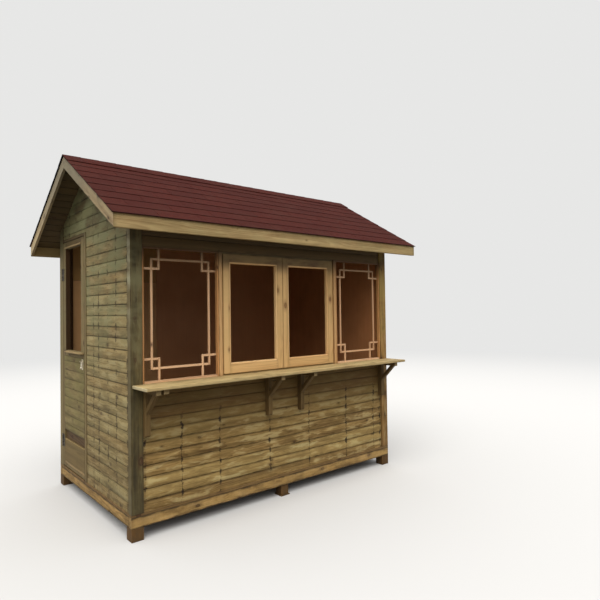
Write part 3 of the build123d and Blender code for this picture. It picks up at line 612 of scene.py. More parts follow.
# %% [markdown]
# The sheets inside are plywood with a brown facing: thin, even and only faintly striped, with scuffs where goods were
# leaned on it. It needs no rings, so it has a plain recipe of its own on the place in the building.
# %% Sheet finish
def plain_finish(name, group, carries, shader, strength, depth, **values):
    """A material made of one effect, whose outputs go to the shader, and its height to the relief."""
    material, tree, place = blank_finish(name)
    ins = {"Place": place, **{label.title(): carried(tree, label) for label in carries}}
    for label, value in values.items():
        ins[label.replace("_", " ")] = paint(*value) if isinstance(value, tuple) else value
    given = {socket.name: socket for socket in node(tree, "Group", ins, node_tree=group).outputs}
    height = given.pop("Height")
    given["Base Color"] = given.pop("Color")
    close_finish(tree, {**given, **shader}, height, strength, depth)
    return material


def faced_sheet():
    """A brown facing with faint stripes, clouds and scuffs."""
    tree, given, give = effect("faced sheet", {
        "Place": (0, 0, 0), "Tone": 0.5, "Pale": WOOD, "Deep": WOOD, "Dull": WOOD, "Warm": WOOD,
    }, "Color", "Roughness", "Height")
    stripes = noise(tree, given["Place"], (60, 60, 1.6), 3, 0.6)
    cloud = noise(tree, given["Place"], 2.4, 3, 0.6)
    colour = mix(tree, ramp(tree, stripes, 0.3, 0.7), given["Pale"], given["Deep"])
    colour = mix(tree, ramp(tree, cloud, 0.35, 0.75, 0, 0.45), colour, given["Dull"])
    colour = mix(tree, ramp(tree, given["Tone"], 0, 1, 0, 0.35), colour, given["Warm"])
    scuffs = ramp(tree, noise(tree, given["Place"], (30, 30, 90), 5, 0.75), 0.66, 0.8, 0, 0.3)
    return give(Color=mix(tree, scuffs, colour, paint(200, 150, 104)),
                Roughness=ramp(tree, cloud, 0.3, 0.7, 0.45, 0.62),
                Height=stripes)


SHEET = faced_sheet()


def sheet_finish(name, pale, deep, dull, warm):
    """Brown faced plywood."""
    return plain_finish(name, SHEET, ("tone",), {"Specular IOR Level": 0.35}, 0.06, 0.001,
                        Pale=pale, Deep=deep, Dull=dull, Warm=warm)


lining_sheet = sheet_finish("lining_sheet", (190, 130, 84), (182, 123, 77), (146, 96, 58), (200, 142, 94))
side_sheet = sheet_finish("side_sheet", (206, 157, 102), (197, 148, 94), (162, 119, 73), (216, 169, 115))
upper_sheet = sheet_finish("upper_sheet", (184, 142, 82), (176, 134, 76), (141, 105, 56), (192, 153, 93))

# %% [markdown]
# Asphalt shingles are felt covered with crushed stone. Up close they are a crowd of red brown, dark and pale grains;
# from afar they are one dull colour that differs a little from tab to tab. A dark band is painted along the lower edge
# of each tab: a painted shadow at the step of each course. The grains are a cell pattern of about a millimetre and a
# half, and the edge comes from the tab's own map.
# %% Shingle finish
def crushed_stone():
    """Stone grains in two shades with pale flecks, worn patches and a painted shadow along the lower edge."""
    tree, given, give = effect("crushed stone", {
        "Place": (0, 0, 0), "Tone": 0.5, "Unit": (0, 0, 0), "Deep": WOOD, "Pale": WOOD, "Fleck": WOOD, "Dull": WOOD,
        "Worn": WOOD,
    }, "Color", "Roughness", "Height")
    grains = node(tree, "TexVoronoi", {"Vector": given["Place"], "Scale": 620.0}).outputs
    luck = node(tree, "SeparateColor", {0: grains["Color"]}).outputs[0]
    colour = mix(tree, ramp(tree, luck, 0.1, 0.9), given["Deep"], given["Pale"])
    colour = mix(tree, ramp(tree, luck, 0.86, 0.97, 0, 0.6), colour, given["Fleck"])
    colour = mix(tree, ramp(tree, given["Tone"], 0, 1, 0, 0.4), colour, given["Dull"])
    patch = ramp(tree, noise(tree, given["Place"], 5.5, 4, 0.65), 0.42, 0.72, 0, 0.5)
    colour = mix(tree, patch, colour, given["Worn"])
    # A painted shadow: the lower edge of each tab turns dark, where the course steps down.
    shadow_lip = maths(tree, "MULTIPLY_ADD", noise(tree, given["Place"], 70, 2), 0.05, part(tree, given["Unit"], 1))
    return give(Color=mix(tree, ramp(tree, shadow_lip, -0.88, -0.97, 0, 0.6), colour, paint(28, 14, 11)),
                Roughness=ramp(tree, luck, 0, 1, 0.8, 0.98),
                Height=maths(tree, "SUBTRACT", 1.0, grains["Distance"]))


STONE = crushed_stone()


def shingle_finish(name, deep, pale, fleck, dull, worn):
    """Mineral felt in a few shades."""
    return plain_finish(name, STONE, ("tone", "unit"), {"Specular IOR Level": 0.1}, 0.5, 0.0012,
                        Deep=deep, Pale=pale, Fleck=fleck, Dull=dull, Worn=worn)


roof_shingle = shingle_finish("roof_shingle", (52, 19, 14), (80, 29, 21), (116, 58, 42), (56, 20, 15), (72, 36, 27))
felt_edge = shingle_finish("felt_edge", (16, 13, 12), (30, 26, 23), (52, 40, 34), (14, 12, 11), (34, 28, 24))

# %% [markdown]
# The ironwork is a satin bow handle, hinges of dull zinc and dark nail heads. They differ in colour, shine and in how
# far rust has got, so one recipe takes those as values.
# %% Iron finish
def worn_iron():
    """Metal with dull patches and rust."""
    tree, given, give = effect("worn iron", {
        "Place": (0, 0, 0), "Bright": WOOD, "Dull": WOOD, "Rust From": 0.6, "Rust To": 0.7, "Rust Amount": 0.5,
        "Smooth": 0.4, "Rough": 0.6,
    }, "Color", "Metallic", "Roughness", "Height")
    place = given["Place"]
    patch = noise(tree, place, 60, 4, 0.65)
    rust = ramp(tree, noise(tree, place, 140, 5, 0.7), given["Rust From"], given["Rust To"], 0, given["Rust Amount"])
    colour = mix(tree, ramp(tree, patch, 0.35, 0.65), given["Bright"], given["Dull"])
    return give(Color=mix(tree, rust, colour, paint(92, 52, 30)),
                Metallic=ramp(tree, rust, 0, 1, 0.95, 0.1),
                Roughness=ramp(tree, patch, 0.2, 0.8, given["Smooth"], given["Rough"]),
                Height=noise(tree, place, (900, 900, 60), 2))


IRON = worn_iron()


def iron_finish(name, bright, dull, rust, rough):
    """Metal that is more or less rusty and rough."""
    return plain_finish(name, IRON, (), {}, 0.12, 0.0005, Bright=bright, Dull=dull, Rust_From=0.62 - 0.25 * rust,
                        Rust_To=0.74 - 0.2 * rust, Rust_Amount=min(1.0, 0.3 + rust), Smooth=rough - 0.08,
                        Rough=rough + 0.15)


handle_steel = iron_finish("handle_steel", (222, 214, 196), (184, 174, 152), 0.05, 0.4)
hinge_steel = iron_finish("hinge_steel", (112, 108, 98), (74, 70, 62), 0.45, 0.5)
nail_iron = iron_finish("nail_iron", (64, 58, 50), (44, 38, 32), 0.8, 0.6)
print("all finishes:", len(bpy.data.materials))

# %% [markdown]
# ## Tools for modelling
# Every timber starts as a block at its size and place, and is then cut, moved, raised and eased with the tools that
# edit mode has. An operator works on all that is selected, so each helper first clears the selection and then picks
# faces, edges or points by where they lie.
# %% Modelling helpers
def activate(*pieces):
    """Select these pieces and nothing else."""
    bpy.ops.object.select_all(action="DESELECT")
    for piece in pieces:
        piece.select_set(True)
    bpy.context.view_layer.objects.active = pieces[0]


def named(name):
    """The piece that was just made, with its name."""
    piece = bpy.context.object
    piece.name = piece.data.name = name
    return piece


def block(name, low, high):
    """A block between two corners."""
    low, high = Vector(low), Vector(high)
    bpy.ops.object.select_all(action="DESELECT")
    bpy.ops.mesh.primitive_cube_add(size=1, location=(low + high) / 2)
    piece = named(name)
    piece.scale = high - low
    bpy.ops.object.transform_apply(location=True, rotation=True, scale=True)
    return piece


def pick(piece, what, test):
    """Go into edit mode with the points, edges or faces selected whose middle passes a test."""
    activate(piece)
    bpy.ops.object.mode_set(mode="EDIT")
    bpy.ops.mesh.select_mode(type={"verts": "VERT", "edges": "EDGE", "faces": "FACE"}[what])
    bpy.ops.mesh.select_all(action="DESELECT")
    shape = bmesh.from_edit_mesh(piece.data)
    for item in getattr(shape, what):
        if what == "verts":
            chosen = test(item.co)
        elif what == "edges":
            chosen = test((item.verts[0].co + item.verts[1].co) / 2, item.verts[1].co - item.verts[0].co)
        else:
            chosen = test(item.calc_center_median(), item.normal)
        if chosen:
            item.select_set(True)
    shape.select_flush_mode()
    bmesh.update_edit_mesh(piece.data)


def done():
    """Back to object mode."""
    bpy.ops.object.mode_set(mode="OBJECT")


def cut(piece, point, normal, drop=False):
    """Score a piece along a plane, or saw off what lies on the normal's side and close the cut."""
    activate(piece)
    bpy.ops.object.mode_set(mode="EDIT")
    bpy.ops.mesh.select_all(action="SELECT")
    bpy.ops.mesh.bisect(plane_co=point, plane_no=normal, use_fill=drop, clear_outer=drop, threshold=1e-6)
    done()
    return piece


def move(piece, test, offset):
    """Move the points that pass a test."""
    pick(piece, "verts", test)
    bpy.ops.transform.translate(value=offset)
    done()


def draw_out(offset):
    """Extrude what is selected."""
    bpy.ops.mesh.extrude_region_move(TRANSFORM_OT_translate={"value": offset})


def raise_faces(piece, test, offset):
    """Extrude the faces that pass a test."""
    pick(piece, "faces", test)
    draw_out(offset)
    done()


def bevel_edges(piece, test, width, segments=1, profile=0.5):
    """Bevel the edges that pass a test."""
    pick(piece, "edges", test)
    bpy.ops.mesh.bevel(offset=width, segments=segments, profile=profile)
    done()


def ease(piece, width=0.0015, segments=2, angle=40):
    """Take the sharpness off every edge."""
    activate(piece)
    bpy.ops.object.modifier_add(type="BEVEL")
    bevel = piece.modifiers[-1]
    bevel.width, bevel.segments, bevel.limit_method, bevel.angle_limit = width, segments, "ANGLE", math.radians(angle)
    bpy.ops.object.modifier_apply(modifier=bevel.name)
    return piece


def write_grain(piece, along, across):
    """Give a timber its own run of grain: metres along, across and through it, and its place between its edges."""
    axes = np.array([along, across, Vector(along).cross(across)])
    mesh = piece.data
    points = np.empty(len(mesh.vertices) * 3, np.float32)
    mesh.vertices.foreach_get("co", points)
    local = points.reshape(-1, 3) @ axes.T
    low, high = local.min(0), local.max(0)
    half = np.maximum((high - low) / 2, 1e-5)
    middle = (low + high) / 2
    pith = (chance.uniform(0, 60), chance.uniform(-0.05, 0.05), chance.choice((-1, 1)) * chance.uniform(0.03, 0.09))
    for name, values in (("grain", local - middle + np.array(pith)), ("unit", (local - middle) / half),
                         ("half", np.repeat(half[None], len(local), 0))):
        store = mesh.attributes.get(name) or mesh.attributes.new(name, "FLOAT_VECTOR", "POINT")
        store.data.foreach_set("vector", values.astype(np.float32).ravel())
    store = mesh.attributes.get("tone") or mesh.attributes.new("tone", "FLOAT", "POINT")
    store.data.foreach_set("value", np.full(len(local), chance.random(), np.float32))
    return piece


def timber(name, low, high, along=X, across=Z, width=0.0015):
    """A squared timber with eased edges and its own grain."""
    return write_grain(ease(block(name, low, high), width), along, across)


def copy_piece(piece, name):
    """A copy with its own mesh."""
    twin = piece.copy()
    twin.data = piece.data.copy()
    twin.name = twin.data.name = name
    scene.collection.objects.link(twin)
    return twin


def settle(piece, place=(0, 0, 0), turn=(0, 0, 0)):
    """Turn a piece about the origin, move it, and put both into its mesh."""
    piece.rotation_euler = [math.radians(angle) for angle in turn]
    piece.location = place
    activate(piece)
    bpy.ops.object.transform_apply(location=True, rotation=True, scale=True)
    return piece


def keep(pieces, piece):
    """Add a piece to a list, or remove it where the saw has left nothing of it."""
    if piece.data.vertices:
        pieces.append(piece)
    else:
        bpy.data.objects.remove(piece)


def join(name, pieces):
    """One piece out of several."""
    activate(*pieces)
    bpy.ops.object.join()
    return named(name)


def fit(piece, finish, body, slot, *nodes, smooth=None):
    """Give a finished piece its material and its place in the model."""
    piece.data.materials.clear()
    piece.data.materials.append(finish)
    activate(piece)
    if smooth:
        bpy.ops.object.shade_smooth_by_angle(angle=math.radians(smooth))
    if nodes:
        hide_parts(*nodes)
    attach(piece, body)
    print(piece.name, "replaces", ", ".join(nodes) or "nothing", "with", len(piece.data.polygons), "faces")
    return piece


def refinish(piece, finish, test):
    """Give the faces that pass a test a second finish."""
    piece.data.materials.append(finish)
    pick(piece, "faces", test)
    piece.active_material_index = len(piece.data.materials) - 1
    bpy.ops.object.material_slot_assign()
    done()


print("modelling helpers ready")

# %% [markdown]
# ## Base
# The hut stands on four short corner blocks and a smaller block with a thin pad under the middle of each long side.
# The sills lie on them, the joists run between the sills, and the floor boards cover both out to the faces.
# %% Feet and sills
FOOT_SIZE, MIDDLE_SIZE, PAD_SIZE, PAD_HEIGHT = 0.090, 0.076, 0.096, 0.008
foot_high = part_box("feet")[1]
sill_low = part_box("front_sill")[0].z


def foot(x, y, size, low, high, width):
    """A square block about a middle, with its grain upright."""
    half = size / 2
    return timber("foot", (x - half, y - half, low), (x + half, y + half, high), Z, X, width)


corner_x, corner_y = foot_high.x - FOOT_SIZE / 2, foot_high.y - FOOT_SIZE / 2
blocks = [foot(x, y, FOOT_SIZE, 0, sill_low, 0.003) for x in (-corner_x, corner_x) for y in (-corner_y, corner_y)]
for side_y in (-1, 1):
    y = side_y * (foot_high.y - PAD_SIZE / 2)
    blocks.append(foot(0, y, PAD_SIZE, 0, PAD_HEIGHT, 0.002))
    blocks.append(foot(0, y, MIDDLE_SIZE, PAD_HEIGHT, sill_low, 0.002))
fit(join("foot_blocks", blocks), foot_timber, "hut", "frame_timber", "feet")

for name in ("front_sill", "rear_sill", "left_sill", "right_sill"):
    low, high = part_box(name)
    long_way = X if high.x - low.x > high.y - low.y else Y
    fit(timber(name + "_timber", low, high, long_way, Z, 0.003), frame_timber, "hut", "frame_timber", name)

JOIST_WIDTH = 0.045
low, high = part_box("floor_joists")
joists = [timber("joist", (x, low.y, low.z), (x + JOIST_WIDTH, high.y, high.z), Y, Z)
          for x in (low.x, -JOIST_WIDTH / 2, high.x - JOIST_WIDTH)]
fit(join("joist_timbers", joists), frame_timber, "hut", "frame_timber", "floor_joists")

# %% Floor boards
DECK_COUNT, DECK_GAP = 14, 0.0012
low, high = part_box("floor_deck")
deck_step = (high.y - low.y) / DECK_COUNT
deck = []
for number in range(DECK_COUNT):
    y = low.y + number * deck_step
    deck.append(timber("deck", (low.x, y + DECK_GAP / 2, low.z), (high.x, y + deck_step - DECK_GAP / 2, high.z),
                       X, Y, 0.0018))
fit(join("deck_boards", deck), floor_boards, "hut", "floor_boards", "floor_deck")

# %% [markdown]
# ## Posts
# Four corner posts carry the roof. Each is one straight timber, sawn off at the top along the slope of the roof. The
# left front one is stained dark and green, while the right front one is fresh and yellow with dark knots.
# %% Posts
PITCH_DEGREES = 30
ROOF_BOARD = 0.016
pitch = math.radians(PITCH_DEGREES)
apex = Vector((0, 0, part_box("front_roof_boards")[1].z))
under_apex = Vector((0, 0, apex.z - ROOF_BOARD / math.cos(pitch)))


def under_roof(piece):
    """Saw off what reaches above the underside of the roof boards."""
    top = max(corner[2] for corner in piece.bound_box)
    reach = [corner[1] for corner in piece.bound_box]
    for side in (-1, 1):
        slope = Vector((0, side * math.sin(pitch), math.cos(pitch)))
        if max((Vector((0, y, top)) - under_apex).dot(slope) for y in (min(reach), max(reach))) > 1e-5:
            cut(piece, under_apex, slope, drop=True)
    return piece


for name, finish in (("post_front_left", dark_post), ("post_front_right", pale_post), ("post_rear_left", rear_post),
                     ("post_rear_right", dark_post)):
    post = timber(name + "_timber", *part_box(name), Z, X, 0.003)
    fit(under_roof(post), finish, "hut", "frame_timber", name)
    if name == "post_front_left":
        refinish(post, post_side, lambda p, normal: normal.x < -0.5)
    # The rear left post's face towards the door gets the near-black reveal finish: painted shade.
    if name == "post_rear_left":
        refinish(post, shaded_door_reveal, lambda p, normal: normal.y < -0.9)

# %% [markdown]
# ## Cladding
# The walls are tongued boards, 82.5 mm apart, with a small V at each joint and a narrow slot behind it. Wet wood
# swells, and the nails hold it at the studs, so every board bulges a little between two studs. A flat wall with a
# painted line would lose the shadow of the joints, so each board is real. Four boards are modelled for each wall and
# copied up it in turn, each copy a hair out of line with the last.
# %% One cladding board
JOINT_DEPTH, JOINT_HALF, JOINT_BEVEL = 0.012, 0.0016, 0.0048
BOARD_MODELS = 4


def cladding_board(length, thickness, studs, bulge):
    """A board along X with its face to -Y and its lower edge at zero."""
    board = block("cladding_board", (-length / 2, 0, 0), (length / 2, thickness, BOARD_COVER))
    middle = BOARD_COVER / 2
    cut(board, (0, JOINT_DEPTH, 0), Y)
    move(board, lambda p: p.y < 0.001 and p.z > middle, (0, 0, -JOINT_HALF))
    move(board, lambda p: p.y < 0.001 and p.z < middle, (0, 0, JOINT_HALF))
    bevel_edges(board, lambda p, run: p.y < 0.001 and abs(run.x) > length / 2, JOINT_BEVEL, 2, 0.6)
    cut(board, (0, 0, middle), Z)
    nails = sorted(stud for stud in studs if abs(stud) < length / 2 - 0.004)
    ends = [-length / 2] + nails + [length / 2]
    crests = []
    for first, second in zip(ends, ends[1:]):
        for share, height in ((0.22, 0.8), (0.5, 1), (0.78, 0.8)):
            crests.append((first + (second - first) * share, bulge * height * min(1, (second - first) / 0.25)))
    for place in nails + [crest[0] for crest in crests]:
        cut(board, (place, 0, 0), X)
    for place, depth in crests:
        move(board, lambda p: abs(p.x - place) < 1e-4 and p.y < 0.0005 and abs(p.z - middle) < 0.001, (0, -depth, 0))
        for upper in (True, False):
            wave = chance.uniform(-0.0008, 0.0010) * (1 if upper else -1)
            move(board, lambda p: abs(p.x - place) < 1e-4 and p.y < 0.006 and abs(p.z - middle) > 0.001
                 and (p.z > middle) == upper, (0, -depth * 0.35 + chance.uniform(-0.0006, 0.0006), wave))
    return board


def facing(outward, low, high):
    """The outer plane of a box that looks to 0 (-Y), 90 (+X), 180 (+Y) or 270 degrees (-X), and its two ends."""
    across = 1 if outward in (0, 180) else 0
    return (high if outward in (90, 180) else low)[across], (low[1 - across], high[1 - across])


def courses(low, high):
    """The numbers of the boards that cover a height."""
    return range(math.floor((low[2] - BOARD_BASE) / BOARD_COVER), math.ceil((high[2] - BOARD_BASE) / BOARD_COVER))


def wall_axes(outward):
    """The directions along a wall and into the room."""
    angle = math.radians(outward)
    return Vector((math.cos(angle), math.sin(angle), 0)), Vector((-math.sin(angle), math.cos(angle), 0))


def board_wall(name, outward, low, high, studs, bulge=0.0030):
    """Boards up a wall that fills a box."""
    along, inward = wall_axes(outward)
    face, run = facing(outward, low, high)
    centre = (run[0] + run[1]) / 2
    axis = 0 if outward in (0, 180) else 1
    local = [(stud - centre) * along[axis] for stud in studs]
    thickness = high[1 - axis] - low[1 - axis]
    models = [cladding_board(run[1] - run[0], thickness, local, bulge) for number in range(BOARD_MODELS)]
    boards = []
    for number in courses(low, high):
        z = BOARD_BASE + number * BOARD_COVER
        board = copy_piece(models[number % BOARD_MODELS], "board")
        place = Vector((centre, face, z) if axis == 0 else (face, centre, z))
        settle(board, place + inward * chance.uniform(0, 0.0014), (0, 0, outward))
        write_grain(board, along, Z)
        if z < low[2]:
            cut(board, (0, 0, low[2]), -Z, drop=True)
        if z + BOARD_COVER > high[2]:
            cut(board, (0, 0, high[2]), Z, drop=True)
        boards.append(under_roof(board))
    for model in models:
        bpy.data.objects.remove(model)
    return join(name, boards)


def fit_wall(wall, finish, outward, *nodes):
    """Give a wall its finish, and its inner face a dark one: painted shade of the unlit room."""
    inward = wall_axes(outward)[1]
    fit(wall, finish, "hut", "wall_boards", *nodes, smooth=30)
    refinish(wall, shaded_inner_boards, lambda p, normal: normal.dot(inward) > 0.9)


print("boards of", BOARD_COVER, "m, in", BOARD_MODELS, "models for each wall")

# %% Walls
for name, outward, finish, studs, bulge in (
        ("front_wall", 0, front_cladding, FRONT_STUDS, 0.0044), ("front_header", 0, shaded_header_boards, FRONT_STUDS, 0.0030),
        ("rear_wall", 180, rear_cladding, FRONT_STUDS, 0.0030), ("right_wall", 90, side_cladding, SIDE_STUDS, 0.0030)):
    fit_wall(board_wall(name + "_boards", outward, *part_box(name), studs, bulge), finish, outward, name)

# %% [markdown]
# The left wall stands beside the door and closes the gable over it. Above the door head its boards run on in one
# length from the front to the rear post, so both CAD nodes become one piece.
# %% Left wall
low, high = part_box("left_wall")
over_low, over_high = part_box("left_gable")
door_course = BOARD_BASE + BOARD_COVER * math.ceil((over_low.z - BOARD_BASE) / BOARD_COVER)
beside = board_wall("beside", 270, low, (high.x, high.y, door_course), SIDE_STUDS)
ripped = board_wall("ripped", 270, (low.x, over_low.y, over_low.z), (high.x, over_high.y, door_course), SIDE_STUDS)
above = board_wall("above", 270, (low.x, low.y, door_course), (high.x, over_high.y, high.z), SIDE_STUDS)
fit_wall(join("left_wall_boards", [beside, ripped, above]), side_cladding, 270, "left_wall", "left_gable")
print("walls stand")

# %% [markdown]
# ## Lining and nails
# Brown sheets line the room from the floor to the rafters. Sheets come in fixed sizes, so there are upright joints
# between them. The sheets at the left end of the room are pieced at one level joint, and the one that shows through the
# door's window is duller above it.
# %% Lining sheets
LINING = 0.009
LINING_SEAM = 1.922
SHEET_WIDTH = 0.86
SHEET_GAP = 0.0025
FRONT_REACH = 1.305
sheet_low, sheet_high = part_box("wall_lining")
jamb_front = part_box("door_jamb")[0].y


def sheets(low, high, along, rows):
    """Sheets side by side over a wall, in rows."""
    axis = 0 if along == X else 1
    count = max(1, round((high[axis] - low[axis]) / SHEET_WIDTH))
    step = (high[axis] - low[axis]) / count
    made = []
    for bottom, top in rows:
        for number in range(count):
            first, last = list(low), list(high)
            first[axis] = low[axis] + number * step + SHEET_GAP / 2
            last[axis] = low[axis] + (number + 1) * step - SHEET_GAP / 2
            first[2], last[2] = bottom, top
            made.append(timber("sheet", first, last, Z, along, 0.001))
    return made


pieced = ((sheet_low.z, LINING_SEAM - SHEET_GAP), (LINING_SEAM, sheet_high.z))
whole = ((sheet_low.z, sheet_high.z),)
rear_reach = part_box("rear_wall")[1].x
rear_joint = -rear_reach / 3
lining = sheets((-rear_reach, sheet_high.y - LINING, 0), (rear_joint, sheet_high.y, 0), X, pieced)
lining += sheets((rear_joint, sheet_high.y - LINING, 0), (rear_reach, sheet_high.y, 0), X, whole)
side_front = sheet_low.y + LINING + 0.001
for side, rear_end, rows in ((-1, jamb_front, pieced), (1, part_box("right_wall")[1].y, whole)):
    reach = sorted((side * sheet_high.x, side * (sheet_high.x - LINING)))
    lining += sheets((reach[0], side_front, 0), (reach[1], rear_end, 0), Y, rows)
under_counter = ((sheet_low.z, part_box("counter_shelf")[0].z),)
lining += sheets((-FRONT_REACH, sheet_low.y, 0), (FRONT_REACH, sheet_low.y + LINING, 0), X, under_counter)
lined = fit(join("lining_sheets", lining), lining_sheet, "hut", "lining_sheet", "wall_lining")
for finish, upper in ((side_sheet, False), (upper_sheet, True)):
    refinish(lined, finish,
             lambda p, normal: -rear_reach < p.x < rear_joint and p.y > 0 and (p.z > LINING_SEAM) == upper)

# %% [markdown]
# A nail head is a small flat disc with an eased rim, driven almost flush. One is modelled and copied to both edges of
# every board at every stud.
# %% Nails
NAIL_RADIUS, NAIL_DEPTH, NAIL_RIM, NAIL_CROWN = 0.0032, 0.0016, 0.0011, 0.0003
NAIL_SHARES = (0.17, 0.83)
bpy.ops.object.select_all(action="DESELECT")
bpy.ops.mesh.primitive_cylinder_add(vertices=8, radius=NAIL_RADIUS, depth=NAIL_DEPTH)
nail_model = bpy.context.object
pick(nail_model, "faces", lambda p, normal: normal.z > 0.9)
bpy.ops.mesh.inset(thickness=NAIL_RIM, depth=NAIL_CROWN)
done()


def nail_wall(outward, low, high, studs, skip=None):
    """Nail heads up a wall that fills a box, two to a board."""
    upright = Matrix.Rotation(math.radians(outward), 4, "Z") @ Matrix.Rotation(math.radians(90), 4, "X")
    face, run = facing(outward, low, high)
    gable = outward in (90, 270)
    heads = []
    for stud in studs:
        if not run[0] + 0.01 < stud < run[1] - 0.01:
            continue
        for number in courses(low, high):
            for share in NAIL_SHARES:
                z = BOARD_BASE + (number + share) * BOARD_COVER + chance.uniform(-0.003, 0.003)
                at = stud + chance.uniform(-0.006, 0.006)
                if not low[2] + 0.008 < z < high[2] - 0.008 or (skip and skip(at, z)):
                    continue
                if gable and z > under_apex.z - abs(at) * math.tan(pitch) - 0.02:
                    continue
                head = copy_piece(nail_model, "nail")
                head.matrix_world = Matrix.Translation((face, at, z) if gable else (at, face, z)) @ upright
                heads.append(head)
    return heads


NAILS_UNDER = 0.03
right_low, right_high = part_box("right_wall")
nails = nail_wall(0, *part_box("front_wall"), FRONT_STUDS)
for outward, name in ((0, "front_header"), (180, "rear_wall")):
    low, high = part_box(name)
    nails += nail_wall(outward, low, (high.x, high.y, high.z - NAILS_UNDER), FRONT_STUDS)
nails += nail_wall(90, right_low, right_high, SIDE_STUDS)
nails += nail_wall(270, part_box("left_wall")[0], (0, over_high.y, right_high.z), SIDE_STUDS,
                   lambda y, z: y > jamb_front - 0.01 and z < over_low.z + 0.01)
bpy.data.objects.remove(nail_model)
nail_heads = join("cladding_nails", nails)
bpy.ops.object.transform_apply(location=True, rotation=True, scale=True)
fit(nail_heads, nail_iron, "hut", "hinge_steel")

# %% [markdown]
# ## Counter
# The shelf is one wide plank that runs past both posts, and a second strip that runs in between the posts under the
# window frames. Elbows and goods have worn its front edge, so the plank is scored into short lengths and its front
# edge points are pushed about by a millimetre before the edges are eased.
# %% Counter shelf
SCORES = 34
shelf_low, shelf_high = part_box("counter_shelf")
body_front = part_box("front_sill")[0].y
notch_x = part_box("front_wall")[1].x - 0.001
plank = block("plank", shelf_low, (shelf_high.x, body_front, shelf_high.z))
marks = [shelf_low.x + (shelf_high.x - shelf_low.x) * number / SCORES for number in range(1, SCORES)]
for mark in marks:
    cut(plank, (mark, 0, 0), X)
middle_z = (shelf_low.z + shelf_high.z) / 2
for mark in marks:
    for top in (True, False):
        worn = Vector((0, chance.uniform(0, 0.0022), chance.uniform(-0.0012, 0) if top else chance.uniform(0, 0.0015)))
        move(plank, lambda p: abs(p.x - mark) < 1e-4 and p.y < shelf_low.y + 0.001 and (p.z > middle_z) == top, worn)
write_grain(ease(plank, 0.0028, 3), X, Y)
strip = timber("strip", (-notch_x, body_front, shelf_low.z), (notch_x, shelf_high.y, shelf_high.z), X, Y, 0.001)
fit(join("counter_planks", [plank, strip]), counter_pine, "hut", "counter_pine", "counter_shelf", smooth=35)

# %% [markdown]
# Each bracket is three sticks: a leg on the wall with a bevelled toe, an arm under the shelf, and a strut let into both
# at 45 degrees. The end of one more cleat shows beside the first bracket.
# %% Brackets
ARM_HEIGHT, LEG_DEPTH, STRUT_SIZE, STRUT_DROP, TOE = 0.035, 0.050, 0.032, 0.190, 0.012
ARM_NARROW, STRUT_NARROW = 0.0005, 0.003
CLEAT_WIDTH, CLEAT_LENGTH, CLEAT_OFFSET = 0.040, 0.120, 0.056
bracket_low, bracket_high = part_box("shelf_bracket_1")
half_width = (bracket_high.x - bracket_low.x) / 2
leg_face = bracket_high.y - LEG_DEPTH
arm_low, arm_high = bracket_high.z - ARM_HEIGHT, bracket_high.z - 0.0003


def bracket(middle, name):
    """A leg, an arm and a strut about one middle line."""
    leg = block("leg", (middle - half_width, leg_face, bracket_low.z),
                (middle + half_width, bracket_high.y, bracket_high.z))
    bevel_edges(leg, lambda p, run: abs(run.x) > 0.01 and p.y < leg_face + 0.001 and p.z < bracket_low.z + 0.001, TOE)
    write_grain(ease(leg), Z, X)
    arm = timber("arm", (middle - half_width + ARM_NARROW, bracket_low.y, arm_low),
                 (middle + half_width - ARM_NARROW, leg_face, arm_high), Y, X)
    rise = STRUT_DROP - ARM_HEIGHT
    length = rise * math.sqrt(2) + 2 * STRUT_SIZE
    strut = timber("strut", (middle - half_width + STRUT_NARROW, -length / 2, 0),
                   (middle + half_width - STRUT_NARROW, length / 2, STRUT_SIZE), Y, X)
    settle(strut, (0, leg_face - rise / 2, bracket_high.z - STRUT_DROP + rise / 2), (-45, 0, 0))
    cut(strut, (0, leg_face, 0), Y, drop=True)
    cut(strut, (0, 0, arm_low), Z, drop=True)
    return join(name, [leg, arm, strut])


for number in range(1, 5):
    name = "shelf_bracket_" + str(number)
    low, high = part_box(name)
    fit(bracket((low.x + high.x) / 2, name + "_sticks"), bracket_timber, "hut", "bracket_timber", name)

cleat_x = bracket_low.x + CLEAT_OFFSET
cleat = timber("shelf_cleat", (cleat_x, bracket_low.y, arm_low + 0.003),
               (cleat_x + CLEAT_WIDTH, bracket_low.y + CLEAT_LENGTH, arm_high), Y, X, 0.002)
fit(cleat, bracket_timber, "hut", "bracket_timber")

# %% [markdown]
# ## Windows
# Between the shelf and the header stand two mullions, with a lattice bay outside each and two sashes between them. The
# openings hold no glass. The lattice is the fine work of the hut. Thin bars make a ring, and stubs tie the ring to the
# frame so that a small square forms at each corner. Upright bars run through, and the level ones are let in a hair
# deeper, as half lapped bars are.
# %% Mullions and lattices
for side in ("left", "right"):
    mullion = timber("mullion_" + side + "_timber", *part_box("mullion_" + side), Z, X)
    fit(mullion, mullion_pine, "hut", "window_pine", "mullion_" + side)

SIDE_BAR, BOTTOM_RAIL, TOP_RAIL = 0.014, 0.016, 0.012
BAR_WIDTH, BAR_THICKNESS, BAR_SETBACK = 0.017, 0.011, 0.016
RING_SIDE, RING_FOOT, RING_HEAD = 0.056, 0.079, 0.066
CORNER_WIDTH, CORNER_HEIGHT = 0.074, 0.087
LAP = 0.0006


